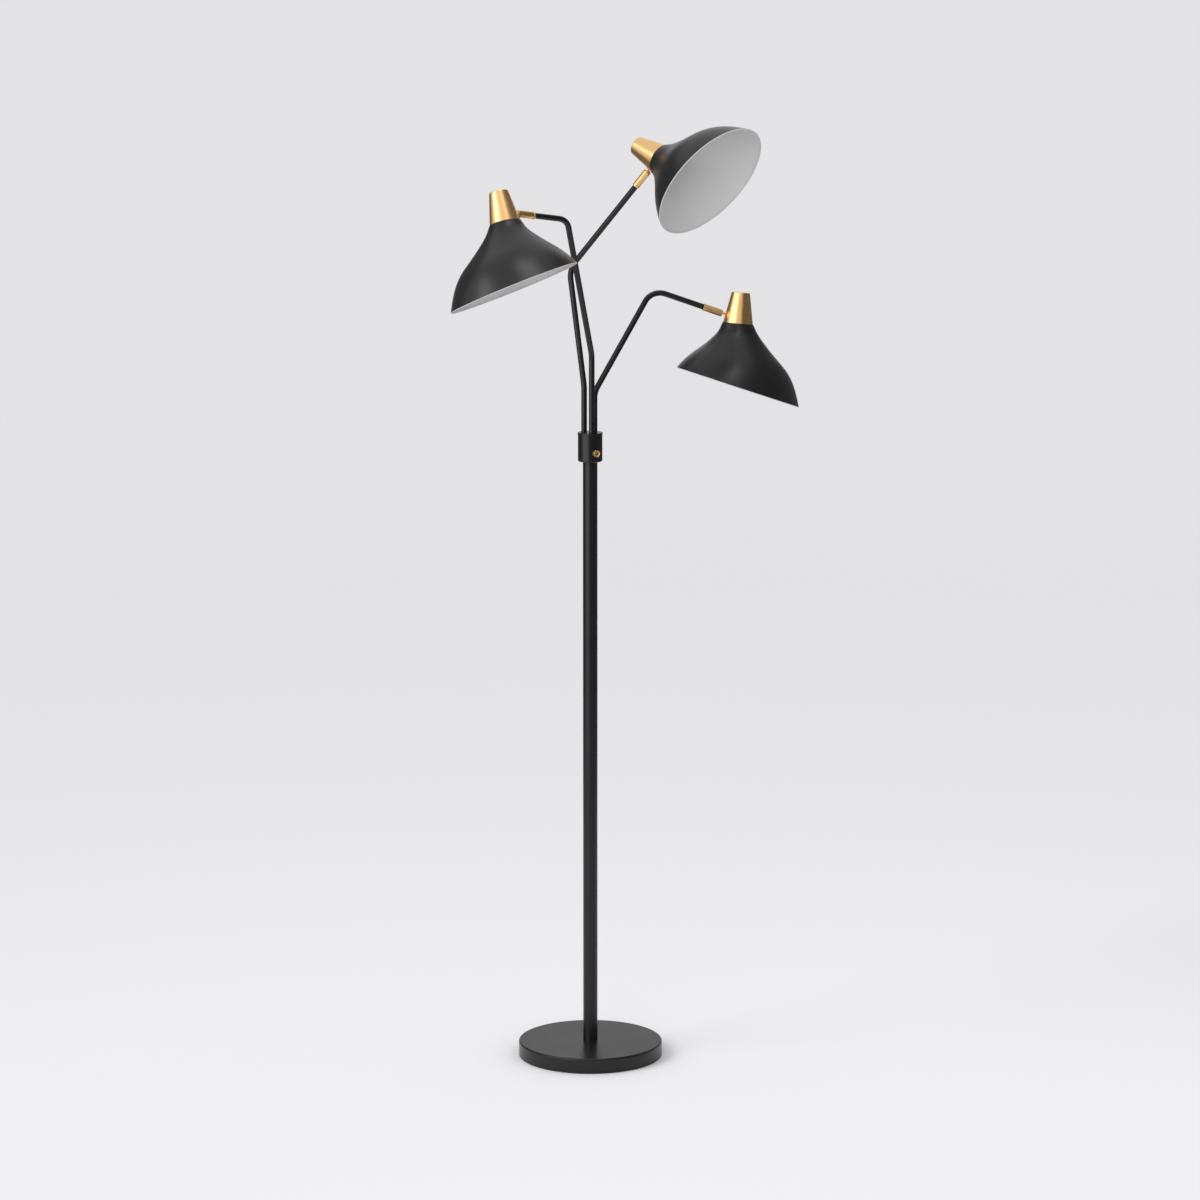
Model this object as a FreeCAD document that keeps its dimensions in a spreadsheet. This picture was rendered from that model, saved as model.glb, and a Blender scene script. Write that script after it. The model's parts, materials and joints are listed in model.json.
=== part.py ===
"""Three-arm floor lamp: round weighted base, slim pole, collar with a turn switch,
three bent arm tubes, and three oblique bell shades, each on a slotted ball swivel.

Frame: millimetres, +Z up, origin on the floor at the pole's axis.
+X is the viewer's right and -Y is the front, where the switch knob is.
"""
import FreeCAD, Part
import math
import os
import re
from FreeCAD import Placement, Rotation, Vector
from Sketcher import Constraint

doc = FreeCAD.newDocument("ThreeArmFloorLamp")
sheet = doc.addObject("Spreadsheet::Sheet", "Sizes")

# ---------------------------------------------------------------- driving sizes
COMMON_SIZES = [
    ("general_clearance", 0.1, "running gap between a pin and its hole, on the radius"),
    ("lead_clearance", 0.3, "gap between a lead and the bore it is drawn through, on the radius"),
    ("thread_radius", 5.0, "hollow threaded nipples, outer radius"),
    ("thread_bore", 3.5, "hollow threaded nipples, bore radius"),
    ("nut_circumradius", 9.2, "nipple nuts, centre to corner"),
    ("nut_thickness", 4.0, "nipple nuts"),
    # base
    ("base_radius", 140.0, "base disc, outer radius"),
    ("base_height", 30.0, "floor to the top of the base"),
    ("base_edge_radius", 3.0, "rounded top edge of the base"),
    ("cover_wall", 1.5, "spun steel cover"),
    ("cover_floor_gap", 1.0, "cover's lower rim stands this far off the floor"),
    ("pad_thickness", 2.0, "felt under the base"),
    ("pad_inset", 8.0, "felt is this much smaller than the cover"),
    ("weight_gap", 0.3, "between the cast weight and the cover"),
    ("weight_chamfer", 2.0, "top edge of the cast weight"),
    ("weight_plate", 11.0, "cast weight's plate, between its hub and its rim"),
    ("weight_rim", 14.0, "cast weight's raised rim, width"),
    ("weight_hub_radius", 28.0, "cast weight's hub under the pole"),
    ("recess_radius", 17.0, "recess for the nut under the weight"),
    ("recess_depth", 15.0, "depth of that recess"),
    ("washer_radius", 15.0, "base washer"),
    ("washer_thickness", 2.0, "base washer"),
    ("channel_width", 9.0, "lead channel under the weight"),
    ("channel_depth", 9.0, "lead channel under the weight"),
    ("inlet_radius", 3.8, "lead inlet bushing, body radius"),
    ("inlet_bore", 2.8, "lead inlet bushing, bore radius"),
    ("inlet_flange_radius", 5.2, "lead inlet bushing, flange radius"),
    ("inlet_flange_thickness", 1.5, "lead inlet bushing, flange"),
    ("inlet_depth", 7.0, "lead inlet bushing, length inside the cover"),
    ("inlet_height", 6.6, "floor to the inlet's axis"),
    # pole
    ("pole_radius", 14.0, "pole tube, outer radius"),
    ("pole_wall", 1.5, "pole tube"),
    ("pole_length", 1144.0, "base top to collar"),
    ("plug_length", 22.0, "threaded plugs in the pole's two ends"),
    ("plug_gap", 0.05, "plug to tube, on the radius"),
    ("nipple_grip", 20.0, "nipple length screwed into a plug"),
    # collar and switch
    ("collar_radius", 23.5, "collar cup, outer radius"),
    ("collar_height", 56.0, "collar with its lid"),
    ("collar_wall", 2.0, "collar cup, side and floor"),
    ("collar_edge_radius", 3.0, "rounded lower edge of the collar"),
    ("lid_thickness", 3.0, "collar lid, the part above the cup"),
    ("lid_overhang", 0.5, "lid stands proud of the cup by this, on the radius"),
    ("lid_spigot", 3.0, "lid's spigot inside the cup, length"),
    ("arm_circle_radius", 11.9, "pole axis to each arm foot"),
    ("arm_foot_depth", 9.0, "arm tubes reach this far under the lid's spigot"),
    ("arm_nut_circumradius", 9.0, "nuts on the arm feet, centre to corner"),
    ("arm_nut_thickness", 4.0, "nuts on the arm feet"),
    ("switch_azimuth", -66.0, "direction of the switch from the pole, degrees"),
    ("switch_drop", 37.0, "lid top down to the switch axis"),
    ("switch_radius", 8.5, "switch housing"),
    ("switch_inset", 6.5, "pole axis to the back of the switch housing"),
    ("bush_radius", 3.5, "switch's threaded bush"),
    ("bush_reach", 2.6, "bush stands out of the collar wall by this"),
    ("switch_nut_radius", 5.5, "brass nut on the bush, centre to corner"),
    ("switch_nut_thickness", 2.5, "brass nut on the bush"),
    ("spindle_radius", 2.0, "switch spindle in the knob"),
    ("spindle_length", 6.6, "knob's spindle inside the bush"),
    ("knob_radius", 6.5, "turn knob"),
    ("knob_length", 7.0, "turn knob"),
    ("knob_gap", 0.6, "nut to knob"),
    ("knob_edge", 0.8, "chamfer round the knob's face"),
    ("knob_flutes", 16, "grip flutes round the knob"),
    ("flute_radius", 0.5, "one grip flute"),
    # arms
    ("arm_radius", 5.5, "arm tube, outer radius"),
    ("arm_wall", 1.5, "arm tube"),
    ("bend_radius", 35.0, "arm tube bends, centre line"),
    # swivel
    ("swivel_length", 36.0, "arm tube's end to the ball's centre"),
    ("swivel_ring_radius", 6.3, "ring at the arm tube's end"),
    ("swivel_ring_length", 4.0, "ring at the arm tube's end"),
    ("spigot_radius", 3.9, "bush's spigots in the tube and in the barrel"),
    ("spigot_length", 11.0, "each spigot"),
    ("spigot_bore", 2.4, "lead hole through the bush"),
    ("barrel_radius", 6.0, "slotted barrel"),
    ("barrel_lip", 2.5, "barrel reaches this far past the ball's centre"),
    ("barrel_edge", 0.5, "chamfer round the barrel's ends"),
    ("lead_bore_radius", 3.0, "lead's way through the barrel to the ball"),
    ("slot_depth", 5.5, "slot across the barrel's end"),
    ("ball_radius", 4.5, "swivel ball"),
    ("stem_radius", 2.5, "ball's stem"),
    ("stem_shoulder_radius", 3.6, "stem's shoulder against the cap"),
    ("stem_reach", 35.0, "ball's centre to the cap's axis"),
    ("stem_height", 17.0, "cap's seam up to the stem's axis"),
    ("stem_nut_circumradius", 4.6, "nut inside the cap, centre to corner"),
    ("stem_nut_thickness", 2.9, "nut inside the cap"),
    # cap, holder
    ("cap_foot_radius", 29.0, "cap at the seam"),
    ("cap_top_radius", 16.5, "cap's flat top"),
    ("cap_height", 60.0, "cap along its axis"),
    ("cap_wall", 1.2, "spun brass cap, measured level"),
    ("cap_edge_radius", 2.5, "rounded top edge of the cap"),
    ("bracket_thickness", 1.5, "holder bracket"),
    ("bracket_width", 10.0, "holder bracket"),
    ("bracket_offset", 22.0, "cap axis to the outer face of the bracket's leg"),
    ("bracket_leg", 12.0, "bracket's leg, length"),
    ("bracket_tail", 9.0, "bracket reaches this far past the cap's axis"),
    ("holder_radius", 17.0, "lamp holder"),
    ("holder_top", 22.0, "seam up to the holder's top"),
    ("holder_drop", 20.0, "seam down to the holder's mouth"),
    ("holder_shoulder_radius", 20.0, "shoulder that stands on the shade's neck"),
    ("holder_shoulder_height", 3.0, "that shoulder"),
    ("holder_boss_radius", 4.0, "boss riveted through the bracket"),
    ("holder_bore_radius", 14.0, "bore in the insulating body"),
    ("holder_bore_depth", 28.0, "bore in the insulating body"),
    ("shell_radius", 13.3, "screw shell, inside radius, for a 26 mm lamp cap"),
    ("shell_length", 21.0, "screw shell"),
    ("shell_wall", 0.6, "screw shell"),
    ("contact_radius", 3.5, "centre contact"),
    ("contact_height", 4.0, "centre contact"),
    # shade
    ("shade_rim_radius", 125.0, "shade's mouth, outer radius"),
    ("shade_neck_radius", 29.8, "shade at the seam"),
    ("shade_depth", 118.0, "rim plane to the neck's centre"),
    ("shade_offset", 38.7, "neck's centre towards the arm side of the rim's centre"),
    ("shade_tilt", 12.9, "neck plane to rim plane, degrees"),
    ("shade_wall", 0.8, "spun steel shade"),
    ("shade_ring_radius", 22.5, "ring nut under the shade's neck"),
    ("shade_ring_height", 4.0, "ring nut under the shade's neck"),
]

# One row per arm.  Azimuths run from +X towards +Y, elevations up from level, all in degrees.
ARM_SIZES = {
    "left": dict(foot_azimuth=-75.0, rise=150.0, lean_azimuth=-104.7, lean_elevation=56.9,
                 lean_length=325.9, reach_azimuth=-143.0, reach_elevation=8.6,
                 reach_length=113.0, roll=21.0, swing=-7.5),
    "upper": dict(foot_azimuth=165.0, rise=88.5, lean_azimuth=108.0, lean_elevation=66.9,
                  lean_length=233.5, reach_azimuth=-32.1, reach_elevation=48.0,
                  reach_length=260.0, roll=-6.0, swing=19.4),
    "right": dict(foot_azimuth=45.0, rise=76.5, lean_azimuth=42.0, lean_elevation=51.4,
                  lean_length=238.2, reach_azimuth=5.6, reach_elevation=-19.4,
                  reach_length=142.0, roll=-4.4, swing=13.6),
}
SIDES = list(ARM_SIZES)

# The bell of the shade, as circles from the rim to the neck.  Each row gives how far up the
# depth the circle lies, how much of the flare from neck to rim it keeps, how much of the
# neck's offset it has taken up, and how much of the neck's tilt.
BELL_CIRCLES = [
    ("rim", 0.0, 1.0, 0.0, 0.0),
    ("skirt", 0.161, 0.896, 0.028, 0.0),
    ("lower", 0.326, 0.761, 0.043, 0.0),
    ("waist", 0.531, 0.531, 0.147, 0.0),
    ("shoulder", 0.636, 0.387, 0.310, 0.0),
    ("upper", 0.763, 0.215, 0.556, 0.15),
    ("throat", 0.898, 0.068, 0.849, 0.62),
    ("neck", 1.0, 0.0, 1.0, 1.0),
]


def fill_sheet():
    """Write every driving size into the sheet, one row each, and name its cell."""
    rows = list(COMMON_SIZES)
    for side, values in ARM_SIZES.items():
        rows += [(f"{side}_{key}", value, f"{side} arm: {key}") for key, value in values.items()]
    for name, level, flare, shift, tilt in BELL_CIRCLES:
        rows.append((f"bell_{name}_level", level, "share of the shade's depth"))
        rows.append((f"bell_{name}_flare", flare, "share of the flare from neck to rim"))
        rows.append((f"bell_{name}_shift", shift, "share of the neck's offset"))
        rows.append((f"bell_{name}_tilt", tilt, "share of the neck's tilt"))
    for number, (name, value, note) in enumerate(rows, start=1):
        sheet.set(f"A{number}", note)
        sheet.set(f"B{number}", str(value))
        sheet.setAlias(f"B{number}", name)
    doc.recompute()


fill_sheet()


def size(name):
    """The value of a named cell."""
    return float(getattr(sheet, name))


# ---------------------------------------------------------------- small tools
def formula(text):
    """Turn 'pole_radius - pole_wall' into a formula on the sheet's cells."""
    return re.sub(r"[a-z]+_[a-z_]*[a-z]", lambda word: "Sizes." + word.group(0), text)


def bind(thing, **properties):
    """Tie an object's properties to formulas on the sheet."""
    for name, text in properties.items():
        thing.setExpression(name, formula(text))
    return thing


def at_height(thing, text):
    """Stand an object at a height above its frame's origin."""
    thing.setExpression(".Placement.Base.z", formula(text))
    return thing


def cylinder(name, radius, height, base="0 mm", turn=None):
    """A cylinder along Z, or along another axis when a rotation is given."""
    thing = bind(doc.addObject("Part::Cylinder", name), Radius=radius, Height=height)
    if turn:
        thing.Placement.Rotation = turn
    return at_height(thing, base)


def cone(name, foot, top, height, base):
    """A truncated cone along Z."""
    thing = bind(doc.addObject("Part::Cone", name), Radius1=foot, Radius2=top, Height=height)
    return at_height(thing, base)


def hexagon(name, circumradius, height, base="0 mm"):
    """A six-sided prism along Z."""
    thing = doc.addObject("Part::Prism", name)
    thing.Polygon = 6
    bind(thing, Circumradius=circumradius, Height=height)
    return at_height(thing, base)


def block(name, length, width, height, x, y, z):
    """A box with its lowest corner at x, y, z."""
    thing = bind(doc.addObject("Part::Box", name), Length=length, Width=width, Height=height)
    for axis, text in zip("xyz", (x, y, z)):
        thing.setExpression(f".Placement.Base.{axis}", formula(text))
    return thing


def fused(name, *pieces):
    """Several solids that are one piece of material."""
    thing = doc.addObject("Part::MultiFuse", name)
    thing.Shapes = list(pieces)
    thing.Refine = True
    return thing


def cut(name, body, *tools):
    """A body with one or more tools taken out of it."""
    tool = tools[0] if len(tools) == 1 else fused(name + "_tools", *tools)
    thing = doc.addObject("Part::Cut", name)
    thing.Base = body
    thing.Tool = tool
    thing.Refine = True
    return thing


PARTS = {}


def keep(node, thing, frame=None):
    """Name a finished sub-part and put it in its place."""
    thing.Label = node
    if frame is not None:
        thing.Placement = frame
    PARTS[node] = thing
    return thing


def ring(node, radius, bore, height, base, frame=None):
    """A plain tube, washer or bush along Z."""
    outer = cylinder(node + "_outer", radius, height, base)
    inner = cylinder(node + "_bore", bore, height, base)
    return keep(node, cut(node + "_cut", outer, inner), frame)


def hex_nut(name, circumradius, bore, height, base):
    """A hexagon nut along Z."""
    blank = hexagon(name + "_blank", circumradius, height, base)
    hole = cylinder(name + "_hole", bore, height, base)
    return cut(name, blank, hole)


def origin_plane(body, role):
    """One of a body's own three planes."""
    return next(plane for plane in body.Origin.OriginFeatures if plane.Role == role)


def outline(body, name, corners, role="XZ_Plane"):
    """A closed sketch through corners, each held at two distances from the body's origin."""
    sketch = body.newObject("Sketcher::SketchObject", name)
    sketch.AttachmentSupport = (origin_plane(body, role), [""])
    sketch.MapMode = "FlatFace"
    places = [Vector(*(sheet_value(text) for text in corner), 0) for corner in corners]
    for start, end in zip(places, places[1:] + places[:1]):
        sketch.addGeometry(Part.LineSegment(start, end), False)
    for index, (corner, place) in enumerate(zip(corners, places)):
        sketch.addConstraint(Constraint("Coincident", (index - 1) % len(corners), 2, index, 1))
        for kind, text, value in zip(("DistanceX", "DistanceY"), corner, place):
            held = sketch.addConstraint(Constraint(kind, -1, 1, index, 1, value))
            sketch.setExpression(f"Constraints[{held}]", formula(text))
    return sketch


def sheet_value(text):
    """The present value of a formula, for a sketch's first guess."""
    words = {name: size(name) for name in re.findall(r"[a-z]+_[a-z_]*[a-z]", text)}
    for name in sorted(words, key=len, reverse=True):
        text = text.replace(name, repr(words[name]))
    return FreeCAD.Units.Quantity(text).Value


def spun(node, corners):
    """A body turned about Z from an outline of (radius, height) corners."""
    body = doc.addObject("PartDesign::Body", node + "_body")
    sketch = outline(body, node + "_outline", corners)
    turned = body.newObject("PartDesign::Revolution", node + "_turned")
    turned.Profile = sketch
    turned.ReferenceAxis = (sketch, ["V_Axis"])
    turned.Angle = 360
    doc.recompute()
    return body


def round_edges(body, name, radius, picked):
    """Round the circular edges of a body that lie at the given (radius, height) pairs."""
    base = body.Tip
    names = []
    for number, edge in enumerate(base.Shape.Edges, start=1):
        if edge.Curve.TypeId != "Part::GeomCircle":
            continue
        for edge_radius, height in picked:
            same = abs(edge.Curve.Radius - edge_radius) < 0.001
            if same and abs(edge.Curve.Center.z - height) < 0.001:
                names.append(f"Edge{number}")
    rounded = body.newObject("PartDesign::Fillet", name)
    rounded.Base = (base, names)
    bind(rounded, Radius=radius)
    doc.recompute()
    return rounded


def direction(azimuth, elevation):
    """A unit vector from an azimuth and an elevation in degrees."""
    turn, lift = math.radians(azimuth), math.radians(elevation)
    return Vector(math.cos(lift) * math.cos(turn), math.cos(lift) * math.sin(turn), math.sin(lift))


def frame_of(origin, x_axis, z_axis):
    """The placement whose X and Z axes point along two given square directions."""
    return Placement(origin, Rotation(x_axis, z_axis.cross(x_axis), z_axis, "ZXY"))


def cross_hole(name, radius, length, frame):
    """A cylinder along a frame's Z axis, for drilling a piece that is already in place."""
    tool = bind(doc.addObject("Part::Cylinder", name), Radius=radius, Height=length)
    tool.Placement = frame
    return tool


# ---------------------------------------------------------------- base
REAR = Rotation(Vector(1, 0, 0), -90)      # turns +Z to +Y, the back of the lamp


def make_base():
    """Spun cover over a cast weight, felt, the nipple that holds the pole, and the inlet."""
    cover = spun("base_cover", [
        ("thread_radius + general_clearance", "base_height - cover_wall"),
        ("base_radius - cover_wall", "base_height - cover_wall"),
        ("base_radius - cover_wall", "cover_floor_gap"),
        ("base_radius", "cover_floor_gap"),
        ("base_radius", "base_height"),
        ("thread_radius + general_clearance", "base_height")])
    round_edges(cover, "cover_edge", "base_edge_radius", [(size("base_radius"), size("base_height"))])
    inlet_hole = cylinder("inlet_hole", "inlet_radius + general_clearance", "base_radius * 2",
                          "inlet_height", REAR)
    keep("base_cover", cut("cover_cut", cover, inlet_hole))

    top = "base_height - cover_wall"
    radius = "base_radius - cover_wall - weight_gap"
    plate_top = "pad_thickness + weight_plate"
    weight = spun("base_weight", [
        ("thread_radius + general_clearance", "pad_thickness"),
        (radius, "pad_thickness"),
        (radius, f"{top} - weight_chamfer"),
        (f"{radius} - weight_chamfer", top),
        (f"{radius} - weight_rim", top),
        (f"{radius} - weight_rim", plate_top),
        ("weight_hub_radius", plate_top),
        ("weight_hub_radius", top),
        ("thread_radius + general_clearance", top)])
    recess = cylinder("weight_recess", "recess_radius", "recess_depth", "pad_thickness")
    channel = block("weight_channel", "channel_width", "base_radius", "channel_depth",
                    "-channel_width / 2", "0 mm", "pad_thickness")
    keep("base_weight", cut("weight_cut", weight, recess, channel))
    keep("base_pad", cylinder("pad_disc", "base_radius - pad_inset", "pad_thickness"))

    recess_top = "pad_thickness + recess_depth"
    washer_foot = f"{recess_top} - washer_thickness"
    nut_foot = f"{washer_foot} - nut_thickness"
    ring("base_washer", "washer_radius", "thread_radius + general_clearance",
         "washer_thickness", washer_foot)
    keep("base_nut", hex_nut("base_nut_cut", "nut_circumradius", "thread_radius",
                             "nut_thickness", nut_foot))
    ring("base_nipple", "thread_radius", "thread_bore",
         f"base_height + nipple_grip - ({nut_foot})", nut_foot)

    flange = cylinder("inlet_flange", "inlet_flange_radius", "inlet_flange_thickness", turn=REAR)
    body = cylinder("inlet_body", "inlet_radius", "cover_wall + inlet_depth", turn=REAR)
    passage = cylinder("inlet_passage", "inlet_bore", "base_radius * 2", turn=REAR)
    bind(flange, **{".Placement.Base.y": "base_radius"})
    bind(body, **{".Placement.Base.y": "base_radius - cover_wall - inlet_depth"})
    inlet = keep("lead_inlet", cut("inlet_cut", fused("inlet_blank", flange, body), passage))
    at_height(inlet, "inlet_height")


# ---------------------------------------------------------------- pole
def make_pole():
    """Pole tube with a threaded plug pressed into each end, and the lead inside."""
    collar_foot = "base_height + pole_length"
    plug_radius = "pole_radius - pole_wall - plug_gap"
    ring("pole_tube", "pole_radius", "pole_radius - pole_wall", "pole_length", "base_height")
    ring("pole_foot_plug", plug_radius, "thread_radius", "plug_length", "base_height")
    ring("pole_top_plug", plug_radius, "thread_radius", "plug_length", f"{collar_foot} - plug_length")
    lead_foot = "pad_thickness + recess_depth - washer_thickness - nut_thickness"
    lead_top = f"{collar_foot} + collar_height - switch_drop"
    keep("pole_lead", cylinder("pole_lead_core", "thread_bore - lead_clearance",
                               f"{lead_top} - ({lead_foot})", lead_foot))


# ---------------------------------------------------------------- collar and switch
def collar_foot():
    """Height of the collar's underside."""
    return size("base_height") + size("pole_length")


def switch_frame():
    """Frame of the switch: Z points out of the collar along its axis."""
    height = collar_foot() + size("collar_height") - size("switch_drop")
    outward = direction(size("switch_azimuth"), 0)
    return frame_of(Vector(0, 0, height), Vector(0, 0, 1), outward)


def make_collar():
    """Cup and lid, the nipple and nut that hold the cup, and the nuts on the arm feet."""
    foot = Placement(Vector(0, 0, collar_foot()), Rotation())
    cup_height = "collar_height - lid_thickness"
    cup = spun("collar_cup", [
        ("thread_radius + general_clearance", "0 mm"),
        ("collar_radius", "0 mm"),
        ("collar_radius", cup_height),
        ("collar_radius - collar_wall", cup_height),
        ("collar_radius - collar_wall", "collar_wall"),
        ("thread_radius + general_clearance", "collar_wall")])
    round_edges(cup, "collar_edge", "collar_edge_radius", [(size("collar_radius"), 0)])
    cup.Placement = foot
    bush_hole = cross_hole("switch_hole", "bush_radius + general_clearance", "collar_radius * 2",
                           switch_frame())
    keep("collar_cup", cut("cup_cut", cup, bush_hole))

    lid = doc.addObject("PartDesign::Body", "collar_lid_body")
    for name, radius, height, flip in (
            ("lid_plate", "collar_radius + lid_overhang", "lid_thickness", False),
            ("lid_spigot_pad", "collar_radius - collar_wall - general_clearance", "lid_spigot", True)):
        circle = lid.newObject("Sketcher::SketchObject", name + "_outline")
        circle.AttachmentSupport = (origin_plane(lid, "XY_Plane"), [""])
        circle.MapMode = "FlatFace"
        circle.addGeometry(Part.Circle(Vector(), Vector(0, 0, 1), size("collar_radius")), False)
        circle.addConstraint(Constraint("Coincident", 0, 3, -1, 1))
        held = circle.addConstraint(Constraint("Radius", 0, size("collar_radius")))
        circle.setExpression(f"Constraints[{held}]", formula(radius))
        pad = lid.newObject("PartDesign::Pad", name)
        pad.Profile = circle
        pad.Reversed = flip
        bind(pad, Length=height)
        doc.recompute()
    hole = lid.newObject("Sketcher::SketchObject", "arm_hole_outline")
    hole.AttachmentSupport = (origin_plane(lid, "XY_Plane"), [""])
    hole.MapMode = "FlatFace"
    start = Vector(size("arm_circle_radius"), 0, 0)
    hole.addGeometry(Part.Circle(start, Vector(0, 0, 1), size("arm_radius")), False)
    hole.addConstraint(Constraint("PointOnObject", 0, 3, -1))
    for kind, ends, text in (("DistanceX", (-1, 1, 0, 3), "arm_circle_radius"),
                             ("Radius", (0,), "arm_radius + general_clearance")):
        held = hole.addConstraint(Constraint(kind, *ends, sheet_value(text)))
        hole.setExpression(f"Constraints[{held}]", formula(text))
    pocket = lid.newObject("PartDesign::Pocket", "arm_hole")
    pocket.Profile = hole
    pocket.Type = "ThroughAll"
    pocket.Midplane = True
    pattern = lid.newObject("PartDesign::PolarPattern", "arm_holes")
    pattern.Originals = [pocket]
    pattern.Axis = (hole, ["N_Axis"])
    pattern.Angle = 360
    pattern.Occurrences = len(SIDES)
    lid.Tip = pattern
    lid_seat = Vector(0, 0, collar_foot() + sheet_value(cup_height))
    keep("collar_lid", lid, Placement(lid_seat, Rotation(Vector(0, 0, 1), size("left_foot_azimuth"))))

    base = "base_height + pole_length"
    nipple_foot = f"{base} - nipple_grip"
    ring("collar_nipple", "thread_radius", "thread_bore",
         "nipple_grip + collar_wall + nut_thickness + general_clearance * 10", nipple_foot)
    keep("collar_nut", hex_nut("collar_nut_cut", "nut_circumradius", "thread_radius",
                               "nut_thickness", f"{base} + collar_wall"))

    nuts = []
    for side in SIDES:
        nut = hex_nut(f"arm_nut_{side}", "arm_nut_circumradius", "arm_radius + general_clearance",
                      "arm_nut_thickness", f"{base} + {cup_height} - lid_spigot - arm_nut_thickness")
        out = direction(size(f"{side}_foot_azimuth"), 0) * size("arm_circle_radius")
        nut.Placement = Placement(out, Rotation(Vector(0, 0, 1), size(f"{side}_foot_azimuth")))
        nuts.append(nut)
    group = doc.addObject("Part::Compound", "arm_nut_group")
    group.Links = nuts
    keep("arm_nuts", group)


def make_switch():
    """Rotary switch in the collar, its brass nut and the fluted brass knob."""
    frame = switch_frame()
    front = "sqrt((collar_radius - collar_wall)^2 - switch_radius^2) - general_clearance"
    bush_end = "collar_radius + bush_reach"
    housing = cylinder("switch_housing", "switch_radius", f"{front} - switch_inset", "switch_inset")
    bush = cylinder("switch_bush", "bush_radius", f"{bush_end} - switch_inset", "switch_inset")
    spindle_hole = cylinder("spindle_hole", "spindle_radius + general_clearance",
                            "spindle_length + general_clearance * 10",
                            f"{bush_end} - spindle_length")
    keep("switch_body", cut("switch_cut", fused("switch_blank", housing, bush), spindle_hole), frame)
    nut = hex_nut("switch_nut_cut", "switch_nut_radius", "bush_radius", "switch_nut_thickness",
                  "collar_radius")
    keep("switch_nut", nut, frame)

    back = "collar_radius + switch_nut_thickness + knob_gap"
    face = f"{back} + knob_length"
    knob = spun("switch_knob", [
        ("0 mm", f"{bush_end} - spindle_length + knob_gap"),
        ("spindle_radius", f"{bush_end} - spindle_length + knob_gap"),
        ("spindle_radius", back),
        ("knob_radius", back),
        ("knob_radius", f"{face} - knob_edge"),
        ("knob_radius - knob_edge", face),
        ("0 mm", face)])
    flute = knob.newObject("Sketcher::SketchObject", "flute_outline")
    flute.AttachmentSupport = (origin_plane(knob, "XY_Plane"), [""])
    flute.MapMode = "FlatFace"
    start = Vector(size("knob_radius"), 0, 0)
    flute.addGeometry(Part.Circle(start, Vector(0, 0, 1), size("flute_radius")), False)
    flute.addConstraint(Constraint("PointOnObject", 0, 3, -1))
    for kind, ends, text in (("DistanceX", (-1, 1, 0, 3), "knob_radius"),
                             ("Radius", (0,), "flute_radius")):
        held = flute.addConstraint(Constraint(kind, *ends, size(text)))
        flute.setExpression(f"Constraints[{held}]", formula(text))
    groove = knob.newObject("PartDesign::Pocket", "flute")
    groove.Profile = flute
    groove.Type = "ThroughAll"
    groove.Midplane = True
    pattern = knob.newObject("PartDesign::PolarPattern", "flutes")
    pattern.Originals = [groove]
    pattern.Axis = (flute, ["N_Axis"])
    pattern.Angle = 360
    bind(pattern, Occurrences="knob_flutes")
    knob.Tip = pattern
    keep("switch_knob", knob, frame)


# ---------------------------------------------------------------- arms
def arm_points(side):
    """An arm's route (foot, first bend, corner, ball centre) and its last direction."""
    lid_top = collar_foot() + size("collar_height")
    foot_out = direction(size(f"{side}_foot_azimuth"), 0) * size("arm_circle_radius")
    foot_height = lid_top - size("lid_thickness") - size("lid_spigot") - size("arm_foot_depth")
    bend = foot_out + Vector(0, 0, lid_top + size(f"{side}_rise"))
    lean = direction(size(f"{side}_lean_azimuth"), size(f"{side}_lean_elevation"))
    reach = direction(size(f"{side}_reach_azimuth"), size(f"{side}_reach_elevation"))
    corner = bend + lean * size(f"{side}_lean_length")
    ball = corner + reach * size(f"{side}_reach_length")
    return [foot_out + Vector(0, 0, foot_height), bend, corner, ball], reach


def bent_bar(points, radius, bore, bend_radius):
    """A round bar or tube along straight runs, with one round bend at each corner."""
    def section(centre, heading):
        face = Part.Face(Part.Wire(Part.makeCircle(radius, centre, heading)))
        if bore:
            face = face.cut(Part.Face(Part.Wire(Part.makeCircle(bore, centre, heading))))
        return face

    pieces = []
    start = points[0]
    heading = (points[1] - points[0]).normalize()
    for corner, following in zip(points[1:-1], points[2:]):
        leaving = Vector(following - corner).normalize()
        turn = heading.getAngle(leaving)
        trim = bend_radius * math.tan(turn / 2)
        first = corner - heading * trim
        axis = heading.cross(leaving).normalize()
        centre = first + axis.cross(heading) * bend_radius
        pieces.append(section(start, heading).extrude(first - start))
        pieces.append(section(first, heading).revolve(centre, axis, math.degrees(turn)))
        start = corner + leaving * trim
        heading = leaving
    pieces.append(section(start, heading).extrude(points[-1] - start))
    whole = pieces[0].fuse(pieces[1:]).removeSplitter()
    return whole.Solids[0]


def shaped(node, shape, frame=None):
    """A sub-part whose shape is worked out directly from the sheet's sizes."""
    thing = doc.addObject("Part::Feature", node + "_shape")
    thing.Shape = shape
    return keep(node, thing, frame)


def make_arm(side):
    """One bent tube from the collar to the swivel, with its sleeved lead."""
    points, reach = arm_points(side)
    ball = points[-1]
    bore = size("arm_radius") - size("arm_wall")
    tube_end = ball - reach * size("swivel_length")
    lead_end = tube_end - reach * (size("spigot_length") + size("lead_clearance"))
    bend = size("bend_radius")
    shaped(f"arm_{side}", bent_bar(points[:-1] + [tube_end], size("arm_radius"), bore, bend))
    lead_radius = bore - size("lead_clearance")
    shaped(f"arm_lead_{side}", bent_bar(points[:-1] + [lead_end], lead_radius, 0, bend))


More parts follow.
